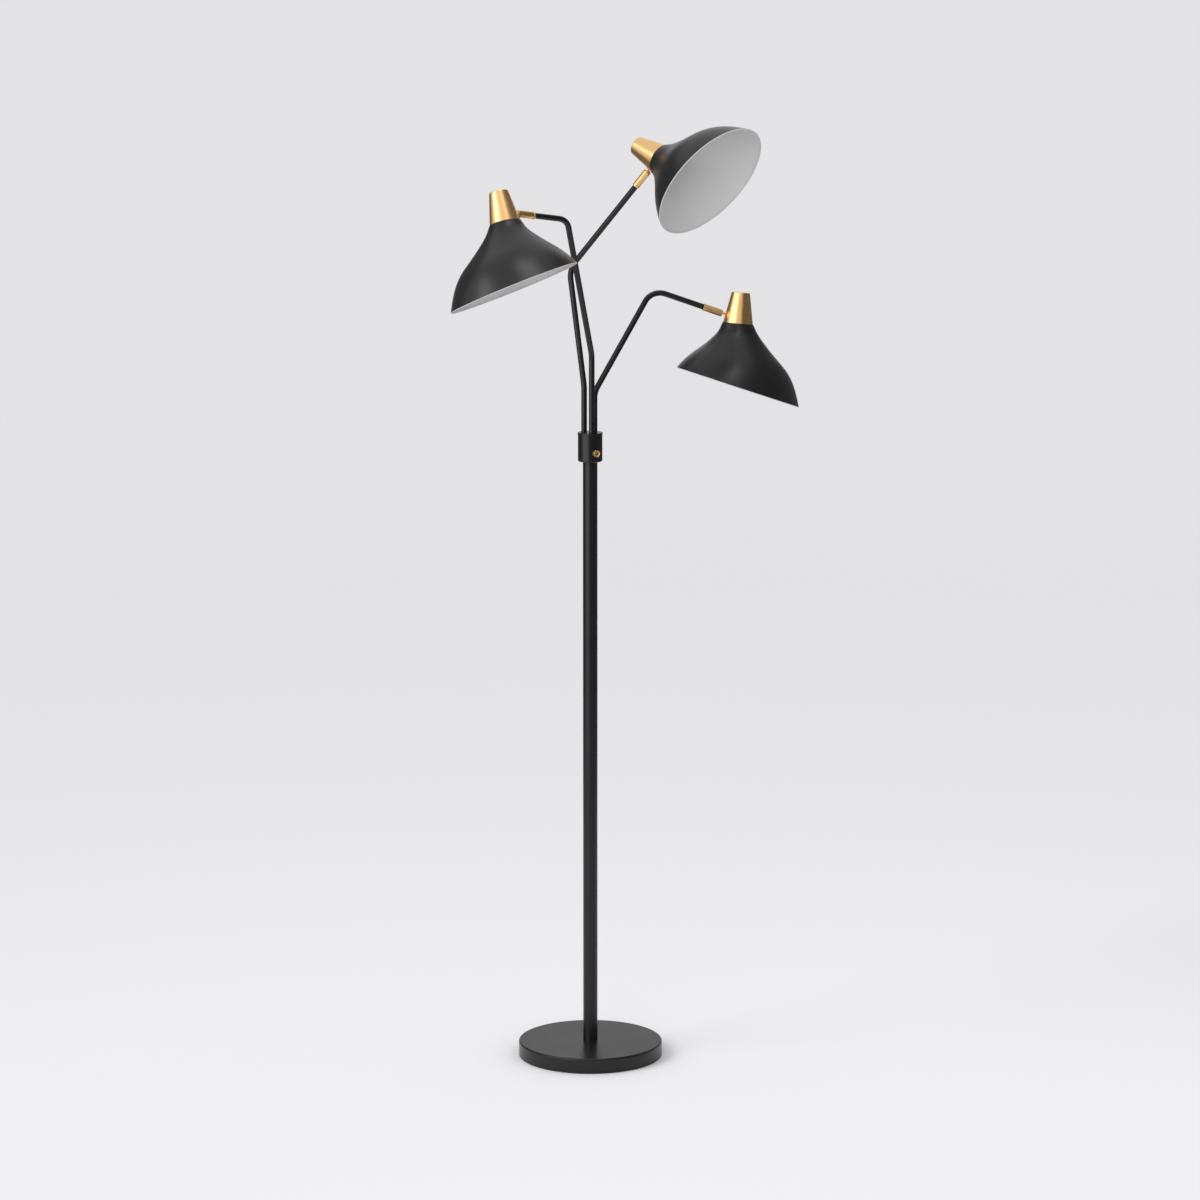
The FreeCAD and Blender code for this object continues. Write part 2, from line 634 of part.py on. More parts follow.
# ---------------------------------------------------------------- swivels
def swivel_frames(side):
    """Frames of one head: the barrel's (Z along the arm's end, X in the slot's plane) and
    the shade holder's (Z along the cap, X along the ball's stem), the latter at the seam."""
    points, reach = arm_points(side)
    ball = points[-1]
    level = Vector(0, 0, 1) - reach * reach.z
    level.normalize()
    slot = Rotation(reach, size(f"{side}_roll")).multVec(level)
    swing = math.radians(size(f"{side}_swing"))
    stem = reach * math.cos(swing) + slot * math.sin(swing)
    cap_axis = slot * math.cos(swing) - reach * math.sin(swing)
    seam = ball + stem * size("stem_reach") - cap_axis * size("stem_height")
    return frame_of(ball, slot, reach), frame_of(seam, stem, cap_axis)


ALONG_STEM = Rotation(Vector(0, 1, 0), 90)      # turns +Z to +X, the stem's direction


def make_swivel(side, barrel_frame, head_frame):
    """Bush on the arm's end, slotted barrel, and the ball with its threaded stem and nut."""
    tube_end = "-swivel_length"
    barrel_foot = f"{tube_end} + swivel_ring_length"
    collar = cylinder(f"bush_collar_{side}", "swivel_ring_radius", "swivel_ring_length", tube_end)
    spigots = cylinder(f"bush_spigots_{side}", "spigot_radius",
                       "spigot_length * 2 + swivel_ring_length", f"{tube_end} - spigot_length")
    passage = cylinder(f"bush_passage_{side}", "spigot_bore", "swivel_length * 2",
                       f"{tube_end} - swivel_length")
    bush = cut(f"bush_cut_{side}", fused(f"bush_blank_{side}", collar, spigots), passage)
    keep(f"swivel_bush_{side}", bush, barrel_frame)

    straight = f"barrel_lip - barrel_edge - ({barrel_foot})"
    blank = cylinder(f"barrel_blank_{side}", "barrel_radius", straight, barrel_foot)
    nose = cone(f"barrel_nose_{side}", "barrel_radius", "barrel_radius - barrel_edge",
                "barrel_edge", "barrel_lip - barrel_edge")
    socket = bind(doc.addObject("Part::Sphere", f"barrel_socket_{side}"),
                  Radius="ball_radius + general_clearance")
    spigot_bore = cylinder(f"barrel_bore_{side}", "spigot_radius + general_clearance",
                           "spigot_length + general_clearance * 5", barrel_foot)
    lead_bore = cylinder(f"barrel_lead_bore_{side}", "lead_bore_radius", "swivel_length",
                         "-swivel_length")
    slot_width = "(stem_radius + general_clearance * 3) * 2"
    slot = block(f"barrel_slot_{side}", "barrel_radius * 4", slot_width, "slot_depth * 2",
                 "-barrel_radius * 2", f"-{slot_width} / 2", "barrel_lip - slot_depth")
    barrel = cut(f"barrel_cut_{side}", fused(f"barrel_whole_{side}", blank, nose),
                 socket, spigot_bore, lead_bore, slot)
    keep(f"swivel_barrel_{side}", barrel, barrel_frame)

    wall_slope = "(cap_foot_radius - cap_top_radius) / cap_height"
    shoulder_end = (f"-cap_foot_radius + {wall_slope} * (stem_height - stem_shoulder_radius)"
                    " - general_clearance")
    nut_foot = "-bracket_offset + bracket_thickness"
    stem_end = f"{nut_foot} + stem_nut_thickness"
    ball = bind(doc.addObject("Part::Sphere", f"ball_sphere_{side}"), Radius="ball_radius")
    stem = along_stem(f"ball_stem_{side}", "stem_radius", f"{stem_end} + stem_reach", "-stem_reach")
    shoulder_foot = "-stem_reach + barrel_radius + general_clearance * 9"
    shoulder = along_stem(f"ball_shoulder_{side}", "stem_shoulder_radius",
                          f"{shoulder_end} - ({shoulder_foot})", shoulder_foot)
    bind(ball, **{".Placement.Base.x": "-stem_reach", ".Placement.Base.z": "stem_height"})
    keep(f"swivel_ball_{side}", fused(f"ball_whole_{side}", ball, stem, shoulder), head_frame)

    blank = hexagon(f"stem_nut_blank_{side}", "stem_nut_circumradius", "stem_nut_thickness")
    lay_along_stem(blank, nut_foot)
    hole = along_stem(f"stem_nut_hole_{side}", "stem_radius", "stem_nut_thickness", nut_foot)
    keep(f"stem_nut_{side}", cut(f"stem_nut_cut_{side}", blank, hole), head_frame)


def lay_along_stem(thing, start):
    """Lay an object that was made along Z on the stem's axis, starting at a given X."""
    thing.Placement.Rotation = ALONG_STEM
    return bind(thing, **{".Placement.Base.x": start, ".Placement.Base.z": "stem_height"})


def along_stem(name, radius, length, start):
    """A cylinder on the stem's axis."""
    thing = bind(doc.addObject("Part::Cylinder", name), Radius=radius, Height=length)
    return lay_along_stem(thing, start)


# ---------------------------------------------------------------- shade holders
def make_holder(side, frame):
    """Brass cap, bracket, lamp holder with its screw shell and contact, and the ring nut."""
    wall_slope = "(cap_foot_radius - cap_top_radius) / cap_height"
    inner_top = f"cap_foot_radius - cap_wall - {wall_slope} * (cap_height - cap_wall)"
    cap = spun(f"cap_{side}", [
        ("cap_foot_radius - cap_wall", "0 mm"),
        ("cap_foot_radius", "0 mm"),
        ("cap_top_radius", "cap_height"),
        ("0 mm", "cap_height"),
        ("0 mm", "cap_height - cap_wall"),
        (inner_top, "cap_height - cap_wall")])
    round_edges(cap, f"cap_edge_{side}", "cap_edge_radius", [(size("cap_top_radius"), size("cap_height"))])
    stem_hole = along_stem(f"cap_stem_hole_{side}", "stem_radius + general_clearance",
                           "stem_reach", "-stem_reach")
    keep(f"cap_{side}", cut(f"cap_cut_{side}", cap, stem_hole), frame)

    plate_top = "holder_top + bracket_thickness"
    leg = block(f"bracket_leg_{side}", "bracket_thickness", "bracket_width", "bracket_leg",
                "-bracket_offset", "-bracket_width / 2", f"{plate_top} - bracket_leg")
    plate = block(f"bracket_plate_{side}", "bracket_offset + bracket_tail", "bracket_width",
                  "bracket_thickness", "-bracket_offset", "-bracket_width / 2", "holder_top")
    leg_hole = along_stem(f"bracket_leg_hole_{side}", "stem_radius + general_clearance",
                          "stem_reach", "-stem_reach")
    boss_hole = cylinder(f"bracket_boss_hole_{side}", "holder_boss_radius + general_clearance",
                         "holder_top")
    at_height(boss_hole, "holder_top / 2")
    bracket = cut(f"bracket_cut_{side}", fused(f"bracket_whole_{side}", leg, plate),
                  leg_hole, boss_hole)
    keep(f"holder_bracket_{side}", bracket, frame)

    body = cylinder(f"holder_body_{side}", "holder_radius", "holder_top + holder_drop", "-holder_drop")
    shoulder = cylinder(f"holder_shoulder_{side}", "holder_shoulder_radius",
                        "holder_shoulder_height")
    boss = cylinder(f"holder_boss_{side}", "holder_boss_radius",
                    "bracket_thickness + general_clearance * 5", "holder_top")
    bore = cylinder(f"holder_bore_{side}", "holder_bore_radius", "holder_bore_depth", "-holder_drop")
    holder = cut(f"holder_cut_{side}", fused(f"holder_whole_{side}", body, shoulder, boss), bore)
    keep(f"lamp_holder_{side}", holder, frame)
    bore_top = "holder_bore_depth - holder_drop"
    ring(f"screw_shell_{side}", "shell_radius + shell_wall", "shell_radius", "shell_length",
         f"{bore_top} - contact_height - shell_length", frame)
    disc = cylinder(f"contact_disc_{side}", "contact_radius", "contact_height / 2",
                    f"{bore_top} - contact_height / 2")
    tip = cone(f"contact_tip_{side}", "contact_radius / 2", "contact_radius", "contact_height / 2",
               f"{bore_top} - contact_height")
    keep(f"centre_contact_{side}", fused(f"contact_whole_{side}", disc, tip), frame)
    ring(f"shade_ring_{side}", "shade_ring_radius", "holder_radius + general_clearance",
         "shade_ring_height", "-shade_wall - shade_ring_height", frame)


# ---------------------------------------------------------------- shades
def bell_frame():
    """The rim's frame in the holder's frame: Z square to the rim, X to the far side."""
    tilt = Rotation(Vector(0, 1, 0), size("shade_tilt"))
    neck = Vector(-size("shade_offset"), 0, size("shade_depth"))
    return Placement(-tilt.multVec(neck), tilt)


def bell_solid(inset):
    """The bell as one smooth solid through its circles, drawn in by the given inset."""
    flare = size("shade_rim_radius") - size("shade_neck_radius")
    wires = []
    for name, *_ in BELL_CIRCLES:
        level = size(f"bell_{name}_level")
        radius = size("shade_neck_radius") + flare * size(f"bell_{name}_flare") - inset
        centre = Vector(-size("shade_offset") * size(f"bell_{name}_shift"), 0,
                        size("shade_depth") * level)
        tilt = Rotation(Vector(0, 1, 0), -size("shade_tilt") * size(f"bell_{name}_tilt"))
        place = bell_frame() * Placement(centre, tilt) * Placement(Vector(0, 0, -inset * level),
                                                                   Rotation())
        circle = Part.makeCircle(radius)
        circle.Placement = place
        wires.append(Part.Wire(circle))
    return Part.makeLoft(wires, True, False)


def make_shade(side, frame):
    """The oblique bell: a thin wall with a flat neck that the ring nut clamps."""
    wall = size("shade_wall")
    hole = Part.makeCylinder(size("holder_radius") + size("general_clearance"), wall * 3,
                             Vector(0, 0, -wall * 2))
    bell = bell_solid(0).cut(bell_solid(wall)).cut(hole)
    shaped(f"shade_{side}", bell.Solids[0], frame)


# ---------------------------------------------------------------- build and write
def check_all():
    """Stop if any object failed, or any sub-part is empty or not valid."""
    for thing in doc.Objects:
        if "Invalid" in thing.State or "Error" in thing.State:
            raise RuntimeError(f"{thing.Name} failed: {thing.State}")
    for node, thing in PARTS.items():
        if thing.Shape.isNull() or not thing.Shape.isValid() or not thing.Shape.Solids:
            raise RuntimeError(f"{node} has no valid solid")


make_base()
make_pole()
make_collar()
make_switch()
for arm_side in SIDES:
    make_arm(arm_side)
    barrel_place, head_place = swivel_frames(arm_side)
    make_swivel(arm_side, barrel_place, head_place)
    make_holder(arm_side, head_place)
    make_shade(arm_side, head_place)
doc.recompute()
check_all()

os.makedirs("parts", exist_ok=True)
for node_name, part in PARTS.items():
    part.Shape.exportStep(f"parts/{node_name}.step")
print(len(PARTS), "sub-parts written")
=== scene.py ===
# %% [markdown]
# # Dressing a three-arm floor lamp
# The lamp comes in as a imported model: every piece is already at its real size and place.  This
# lesson gives it its looks.  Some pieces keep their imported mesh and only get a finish.  Others,
# such as the spun shades, are built again as finer meshes, and each rides on the same moving
# body as the piece it stands for, so the lamp still swivels.
#
# Blender works in metres here.  Sizes are easier to read in millimetres, so the outlines below
# are in millimetres and one constant, `MM`, turns them into metres.

# %% Load the lamp
import json
import math

import bmesh
import bpy
import numpy as np
from mathutils import Matrix, Vector

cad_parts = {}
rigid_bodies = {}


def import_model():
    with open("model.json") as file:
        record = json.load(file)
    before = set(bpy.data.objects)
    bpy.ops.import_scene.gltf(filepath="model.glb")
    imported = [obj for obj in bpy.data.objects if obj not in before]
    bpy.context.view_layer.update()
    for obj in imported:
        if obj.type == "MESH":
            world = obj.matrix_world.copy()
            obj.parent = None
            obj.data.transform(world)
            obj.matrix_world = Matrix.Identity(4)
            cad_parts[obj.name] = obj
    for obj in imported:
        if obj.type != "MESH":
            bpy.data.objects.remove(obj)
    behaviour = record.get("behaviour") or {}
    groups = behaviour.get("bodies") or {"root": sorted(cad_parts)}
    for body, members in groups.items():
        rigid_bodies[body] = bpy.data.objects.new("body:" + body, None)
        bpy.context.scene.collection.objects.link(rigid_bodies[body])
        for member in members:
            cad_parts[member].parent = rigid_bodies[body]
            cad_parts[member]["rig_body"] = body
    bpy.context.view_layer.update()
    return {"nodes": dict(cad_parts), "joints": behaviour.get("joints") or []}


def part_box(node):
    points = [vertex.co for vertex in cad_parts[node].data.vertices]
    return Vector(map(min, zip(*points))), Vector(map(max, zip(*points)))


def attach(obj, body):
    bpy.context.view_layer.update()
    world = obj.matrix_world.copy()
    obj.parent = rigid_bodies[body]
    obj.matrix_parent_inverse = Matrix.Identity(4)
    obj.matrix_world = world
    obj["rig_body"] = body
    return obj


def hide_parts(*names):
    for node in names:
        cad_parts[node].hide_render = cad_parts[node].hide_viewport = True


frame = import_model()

MM = 0.001

# %% [markdown]
# ## The camera
# A product photographer stands far back with a long lens, so that upright poles stay parallel.
# The lens and the distance go together: the lamp is 1.8 m tall and fills three quarters of the
# frame from 8 m away.  The camera looks down by about ten degrees, which is why the round base
# shows as an ellipse.

# %% Camera
CAMERA_PLACE = (0.0188, -8.150, 2.3738)
CAMERA_PITCH = 79.78            # degrees from straight down
LENS, SENSOR = 129.12, 36.0     # millimetres
FARTHEST = 300.0                # metres


def put_in_scene(name, data):
    """A new object that carries this data, linked to the scene."""
    thing = bpy.data.objects.new(name, data)
    bpy.context.scene.collection.objects.link(thing)
    return thing


camera = put_in_scene("studio_camera", bpy.data.cameras.new("studio_camera"))
camera.data.lens = LENS
camera.data.sensor_width = SENSOR
camera.data.clip_end = FARTHEST
camera.location = CAMERA_PLACE
camera.rotation_euler = (math.radians(CAMERA_PITCH), 0, 0)
bpy.context.scene.camera = camera
print("camera looks down by", round(90 - CAMERA_PITCH, 2), "degrees")

# %% [markdown]
# ## Where the moving pieces are
# Each arm ends in a ball.  The joints say where that ball is and which way it turns: the turn
# axis runs along the end of the arm, and the tilt axis runs across the slot in the barrel.
# From these two directions we get one frame for the barrel and one for the shade holder, and
# then every outline can be drawn upright, round its own Z axis, and put in place afterwards.

# %% Frames of the heads and the knob
SIDES = ("left", "upper", "right")
STEM_REACH = 35.0               # ball's centre to the cap's axis
STEM_HEIGHT = 17.0              # cap's seam up to the stem's axis
LOWEST_SWING = -38.0            # degrees from a stem in line with its arm
joints = {joint["name"]: joint for joint in frame["joints"]}


def upright_frame(origin, x_axis, z_axis):
    """The matrix that puts a piece drawn round Z at an origin, with two given axes."""
    turned = Matrix((x_axis, z_axis.cross(x_axis), z_axis)).transposed().to_4x4()
    return Matrix.Translation(origin) @ turned


def head_frames(side):
    """Frames of the slotted barrel and of the shade holder on one arm."""
    ball = Vector(joints[f"{side}_turn"]["pos_m"])
    reach = Vector(joints[f"{side}_turn"]["axis"])
    tilt = joints[f"{side}_tilt"]
    slot = Vector(tilt["axis"]).cross(reach)
    swing = math.radians(LOWEST_SWING - tilt["range_deg"][0])
    stem = reach * math.cos(swing) + slot * math.sin(swing)
    upward = slot * math.cos(swing) - reach * math.sin(swing)
    seam = ball + (stem * STEM_REACH - upward * STEM_HEIGHT) * MM
    return upright_frame(ball, slot, reach), upright_frame(seam, stem, upward)


BARREL = {side: head_frames(side)[0] for side in SIDES}
HEAD = {side: head_frames(side)[1] for side in SIDES}
knob_joint = joints["knob_turn"]
SWITCH = upright_frame(Vector(knob_joint["pos_m"]), Vector((0, 0, 1)), Vector(knob_joint["axis"]))
for side in SIDES:
    print(side, "shade's seam at", [round(value, 4) for value in HEAD[side].translation])

# %% [markdown]
# ## Node groups: effects that several finishes share
# A node group is a small machine with named inputs and outputs.  Powder coat, enamel, moulded
# plastic and cast iron all have a fine uneven skin, only at different scales, so that skin is
# one group.  The shader itself, and every value that is the same all over, stays in the
# material, where other programs can read it.
#
# The helper `feed` does the wiring.  An input gets either a plain value or a pair of a node
# and the name of its output, so a node and its links are written down together.

# %% Helpers for node trees
def feed(node, socket, given):
    """Set an input to a value, or link it to a (node, output) pair."""
    if isinstance(given, tuple) and isinstance(given[0], bpy.types.Node):
        source, output = given
        node.id_data.links.new(source.outputs[output], node.inputs[socket])
    else:
        node.inputs[socket].default_value = given


def add_node(tree, kind, inputs=None, **settings):
    """Add a node with its properties, and feed its inputs."""
    node = tree.nodes.new(kind)
    for name, value in settings.items():
        setattr(node, name, value)
    for socket, given in (inputs or {}).items():
        feed(node, socket, given)
    return node


def spaced(label):
    """Python names have underscores where Blender's labels have spaces."""
    return label.replace("_", " ")


def start_group(name, **inputs):
    """A new shader node group with named inputs: its tree and its input node."""
    tree = bpy.data.node_groups.new(name, "ShaderNodeTree")
    for label, value in inputs.items():
        kind = "NodeSocketColor" if isinstance(value, tuple) else "NodeSocketFloat"
        socket = tree.interface.new_socket(spaced(label), in_out="INPUT", socket_type=kind)
        socket.default_value = value
    return tree, tree.nodes.new("NodeGroupInput")


def end_group(tree, **outputs):
    """Give a group its outputs, each fed by a (node, output) pair."""
    for label in outputs:
        kind = "NodeSocketColor" if label == "Colour" else "NodeSocketFloat"
        tree.interface.new_socket(label, in_out="OUTPUT", socket_type=kind)
    result = tree.nodes.new("NodeGroupOutput")
    for label, source in outputs.items():
        feed(result, label, source)
    print(tree.name, "puts out", list(outputs))
    return tree


# %% [markdown]
# Four small parts come back in many trees: a noise that stays on its piece, a mix of two
# colours, a sum or product of two numbers, and a noise spread over a range of roughness.  Each
# gives back its node or a pair that `feed` understands.

# %% Parts of node trees
MIX_SHARE, MIX_FIRST, MIX_SECOND, MIX_COLOUR = 0, 6, 7, 2   # sockets of a Mix node for colours
NOISE_LOW, NOISE_HIGH = 0.3, 0.7                            # most of a noise lies between these


def piece_noise(tree, scale, **inputs):
    """A noise that reads Object coordinates, so it stays on its piece."""
    place = add_node(tree, "ShaderNodeTexCoord")
    return add_node(tree, "ShaderNodeTexNoise",
                    {"Vector": (place, "Object"), "Scale": scale, **inputs})


def colour_mix(tree, share, first, second):
    """Mix two colours by a share from 0 to 1."""
    mix = add_node(tree, "ShaderNodeMix", data_type="RGBA")
    for socket, given in ((MIX_SHARE, share), (MIX_FIRST, first), (MIX_SECOND, second)):
        feed(mix, socket, given)
    return mix, MIX_COLOUR


def calculate(tree, operation, first, second):
    """A Math node on two numbers."""
    return add_node(tree, "ShaderNodeMath", {0: first, 1: second}, operation=operation), 0


def roughness_from(tree, noise, given):
    """Spread a noise from the group's smooth roughness to its rough one."""
    return add_node(tree, "ShaderNodeMapRange", {
        "Value": (noise, "Fac"), "From Min": NOISE_LOW, "From Max": NOISE_HIGH,
        "To Min": (given, "Smooth Roughness"), "To Max": (given, "Rough Roughness")}), "Result"


# %% [markdown]
# The first group is the **sprayed skin**.  Powder coat flows before it sets and keeps a very
# fine orange peel.  Two noises do this: a fine one is the height that a Bump node reads, and a
# slow one lets the colour and the roughness drift a little, as they do on any large painted
# face.  Both scales are given per metre.

# %% Group: sprayed skin
MID_GREY = (0.5, 0.5, 0.5, 1.0)


def make_skin_group():
    """Fine uneven skin of a sprayed, moulded or cast surface."""
    tree, given = start_group("sprayed_skin", Colour=MID_GREY, Drift_Colour=MID_GREY,
                              Grain_Per_Metre=900.0, Drift_Per_Metre=14.0,
                              Smooth_Roughness=0.3, Rough_Roughness=0.4)
    grain = piece_noise(tree, (given, "Grain Per Metre"), Detail=2.0, Roughness=0.55)
    drift = piece_noise(tree, (given, "Drift Per Metre"), Detail=3.0, Roughness=0.5)
    colour = colour_mix(tree, (drift, "Fac"), (given, "Colour"), (given, "Drift Colour"))
    return end_group(tree, Colour=colour, Roughness=roughness_from(tree, drift, given),
                     Height=(grain, "Fac"))


SKIN = make_skin_group()

# %% [markdown]
# The second group is **turning marks**.  Spun and turned brass keeps hair-fine rings from the
# tool.  Every turned piece below carries a UV map whose V runs along its outline in metres, so
# a one-dimensional noise read along V gives rings that go round the piece, whichever way it
# points.

# %% Group: turning marks
def make_turning_group():
    """Hair-fine rings round a spun or turned piece."""
    tree, given = start_group("turning_marks", Rings_Per_Metre=2500.0, Smooth_Roughness=0.2,
                              Rough_Roughness=0.3)
    place = add_node(tree, "ShaderNodeUVMap", uv_map="turned")
    parts = add_node(tree, "ShaderNodeSeparateXYZ", {"Vector": (place, "UV")})
    rings = add_node(tree, "ShaderNodeTexNoise", {
        "W": (parts, "Y"), "Scale": (given, "Rings Per Metre"), "Detail": 4.0,
        "Roughness": 0.7}, noise_dimensions="1D")
    return end_group(tree, Roughness=roughness_from(tree, rings, given), Height=(rings, "Fac"))


TURNING = make_turning_group()

# %% [markdown]
# The third group is **handling**: the soft, slightly duller patches where fingers have been.
# It is one slow noise, sharpened a little into a mask.  Brass shows it most, black paint a
# little.

# %% Group: handling
def make_handling_group():
    """Soft patches left by fingers, as a mask from 0 to 1."""
    tree, given = start_group("handling", Patches_Per_Metre=35.0, Amount=0.3)
    patches = piece_noise(tree, (given, "Patches Per Metre"), Detail=5.0, Roughness=0.6)
    mask = add_node(tree, "ShaderNodeMapRange", {
        "Value": (patches, "Fac"), "From Min": 0.48, "From Max": 0.66},
        interpolation_type="SMOOTHSTEP")
    return end_group(
        tree, Mask=calculate(tree, "MULTIPLY", (mask, "Result"), (given, "Amount")))


HANDLING = make_handling_group()

# %% [markdown]
# The fourth group finds **edges**.  A Bevel node gives the normal that the surface would have
# if its edges were rounded.  Where that differs from the true normal, there is an edge, and
# that is where paint thins and brass is rubbed bright.  It needs no fine mesh, so it works on
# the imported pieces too.

# %% Group: rubbed edges
def make_edge_group():
    """A mask that is 1 on sharp edges, broken up by a noise."""
    tree, given = start_group("rubbed_edges", Width=0.0008, Amount=0.5)
    rounded_normal = add_node(tree, "ShaderNodeBevel", {"Radius": (given, "Width")}, samples=4)
    true_normal = add_node(tree, "ShaderNodeNewGeometry")
    same = add_node(tree, "ShaderNodeVectorMath", {
        0: (rounded_normal, "Normal"), 1: (true_normal, "Normal")}, operation="DOT_PRODUCT")
    mask = add_node(tree, "ShaderNodeMapRange", {
        "Value": (same, "Value"), "From Min": 0.995, "From Max": 0.85})
    patches = piece_noise(tree, 220.0, Detail=4.0)
    broken = calculate(tree, "MULTIPLY", (mask, "Result"), (patches, "Fac"))
    return end_group(tree, Mask=calculate(tree, "MULTIPLY", broken, (given, "Amount")))


EDGES = make_edge_group()

# %% [markdown]
# ## Finishes
# Each finish is one material with one Principled shader.  Values that are the same all over
# are set straight on the shader's sockets, and the groups feed only what changes from place
# to place.

# %% Helpers for materials
def start_material(name, **values):
    """A new material: its tree and its Principled shader, with uniform values set."""
    material = bpy.data.materials.new(name)
    material.use_nodes = True
    shader = material.node_tree.nodes["Principled BSDF"]
    for label, value in values.items():
        feed(shader, spaced(label), value)
    return material, material.node_tree, shader


def use_group(tree, group, **values):
    """Place a node group in a material, with this material's own values."""
    return add_node(tree, "ShaderNodeGroup", node_tree=group,
                    inputs={spaced(label): value for label, value in values.items()})


def use_bump(tree, shader, height, depth):
    """Feed a height through a Bump node into the shader's normal; depth is in metres."""
    bump = add_node(tree, "ShaderNodeBump", {"Distance": depth, "Height": height})
    feed(shader, "Normal", (bump, "Normal"))


def grey(level, warmth=0.0):
    """A near-neutral colour as (red, green, blue, alpha)."""
    return (level * (1 + warmth), level, level * (1 - warmth), 1.0)


# %% [markdown]
# **Paint, plastic and castings** share one function, because all of them are the sprayed skin
# at their own scale.  The black powder coat is satin: the pole's reflection shows in the top
# of the base, softly.  It is a very dark grey, and where an edge has been rubbed it turns
# slightly lighter.  White enamel lines the shades, so that they throw the light down.
#
# Few people see the cast weight or the lamp holder, but the lamp gets picked up and turned
# over.  Cast iron is rough from the sand, phenolic plastic is matte with a faint sheen, and
# zinc is bright but uneven.

# %% Finishes with a sprayed skin
RUB = 0.25                      # how much of the rubbed colour an edge takes


def skinned(name, colour, drift, grain, smooth, rough, peel, rubbed=None, **uniform):
    """A skin that drifts between two colours; rubbed is its colour on worn edges."""
    material, tree, shader = start_material(name, **uniform)
    skin = use_group(tree, SKIN, Colour=colour, Drift_Colour=drift, Grain_Per_Metre=grain,
                     Smooth_Roughness=smooth, Rough_Roughness=rough)
    tone = skin, "Colour"
    if rubbed:
        edge = use_group(tree, EDGES, Amount=RUB)
        tone = colour_mix(tree, (edge, "Mask"), tone, rubbed)
    feed(shader, "Base Color", tone)
    feed(shader, "Roughness", (skin, "Roughness"))
    use_bump(tree, shader, (skin, "Height"), peel)
    return material


stand_black = skinned("stand_black", grey(0.007), grey(0.00875), 900.0, 0.27, 0.32, 0.00002,
                      rubbed=grey(0.0182), IOR=1.4)
shade_black = skinned("shade_black", grey(0.009), grey(0.01125), 900.0, 0.30, 0.36, 0.00002,
                      rubbed=grey(0.0234), IOR=1.4)
shade_white = skinned("shade_lining_white", grey(0.56, 0.004), grey(0.52, 0.006), 700.0,
                      0.42, 0.52, 0.00003, IOR=1.5)
sand_cast = skinned("sand_cast_iron", grey(0.10, 0.02), grey(0.13, 0.02), 350.0, 0.6, 0.8,
                    0.0004, Metallic=0.6)
zinc_plate = skinned("zinc_plate", grey(0.52, -0.01), grey(0.676, -0.01), 300.0, 0.28, 0.42,
                     0.00002, Metallic=1.0)
phenolic = skinned("moulded_phenolic", grey(0.018, 0.03), grey(0.0234, 0.03), 1200.0, 0.42,
                   0.55, 0.00003)
sheath = skinned("lead_sheath", grey(0.02), grey(0.026), 1500.0, 0.55, 0.65, 0.00003)
print(len(bpy.data.materials), "materials so far")

# %% [markdown]
# **Satin brass.**  The caps are spun from sheet and the swivels turned from bar.  Metal has no
# diffuse colour, so all of its look comes from what it mirrors and how widely it spreads it.
# Turning marks give it a fine grain, fingers leave duller patches, and edges are brighter.

# %% Finish: brass
RUBBED_BRASS = (0.97, 0.78, 0.48, 1.0)
TOUCH, TOUCH_ROUGHNESS = 0.35, 0.10     # share of the dull colour, and roughness it adds
EDGE_SHINE, EDGE_WIDTH = 0.6, 0.0006


def brass_finish(name, colour, dull, smooth, rough):
    """Turned or spun brass: its colour, the colour of duller patches, two roughnesses."""
    material, tree, shader = start_material(name, Metallic=1.0)
    marks = use_group(tree, TURNING, Smooth_Roughness=smooth, Rough_Roughness=rough)
    touched = use_group(tree, HANDLING, Amount=TOUCH)
    edge = use_group(tree, EDGES, Amount=EDGE_SHINE, Width=EDGE_WIDTH)
    tone = colour_mix(tree, (touched, "Mask"), colour, dull)
    more = calculate(tree, "MULTIPLY", (touched, "Mask"), TOUCH_ROUGHNESS)
    feed(shader, "Base Color", colour_mix(tree, (edge, "Mask"), tone, RUBBED_BRASS))
    feed(shader, "Roughness", calculate(tree, "ADD", more, (marks, "Roughness")))
    use_bump(tree, shader, (marks, "Height"), 0.000006)
    return material


satin_brass = brass_finish("satin_brass", (0.90, 0.57, 0.25, 1.0), (0.80, 0.48, 0.20, 1.0),
                           smooth=0.24, rough=0.32)
bare_brass = brass_finish("bare_brass", (0.80, 0.62, 0.34, 1.0), (0.66, 0.48, 0.26, 1.0),
                          smooth=0.22, rough=0.36)
print("brasses:", satin_brass.name, bare_brass.name)

# %% [markdown]
# **Felt** is a mat of crossed fibres: a distorted noise gives both its specks and its nap, and
# the shader's Sheen gives the pale bloom of its loose hairs.

# %% Finish: felt
def felt_finish():
    """Pressed felt: fibres in every direction, with a soft sheen."""
    material, tree, shader = start_material("pressed_felt", Roughness=0.95, Sheen_Weight=0.5,
                                            Sheen_Roughness=0.6)
    fibres = piece_noise(tree, 1400.0, Detail=6.0, Roughness=0.75, Distortion=2.5)
    feed(shader, "Base Color", colour_mix(tree, (fibres, "Fac"), grey(0.012), grey(0.05)))
    use_bump(tree, shader, (fibres, "Fac"), 0.0004)
    return material


FINISH = {"black_paint": stand_black, "shade_paint": shade_black, "brass": satin_brass,
          "contact_brass": bare_brass, "cast_iron": sand_cast, "plain_steel": zinc_plate,
          "black_plastic": phenolic, "lead_sheath": sheath, "base_felt": felt_finish()}
print(len(FINISH), "finishes for the record's slots")

# %% [markdown]
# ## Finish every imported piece
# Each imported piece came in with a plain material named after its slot.  A dictionary from slot
# to finish replaces them all in one loop.  Pieces that are rebuilt further down are hidden
# later, but their slot is kept, because the new piece takes the same one.

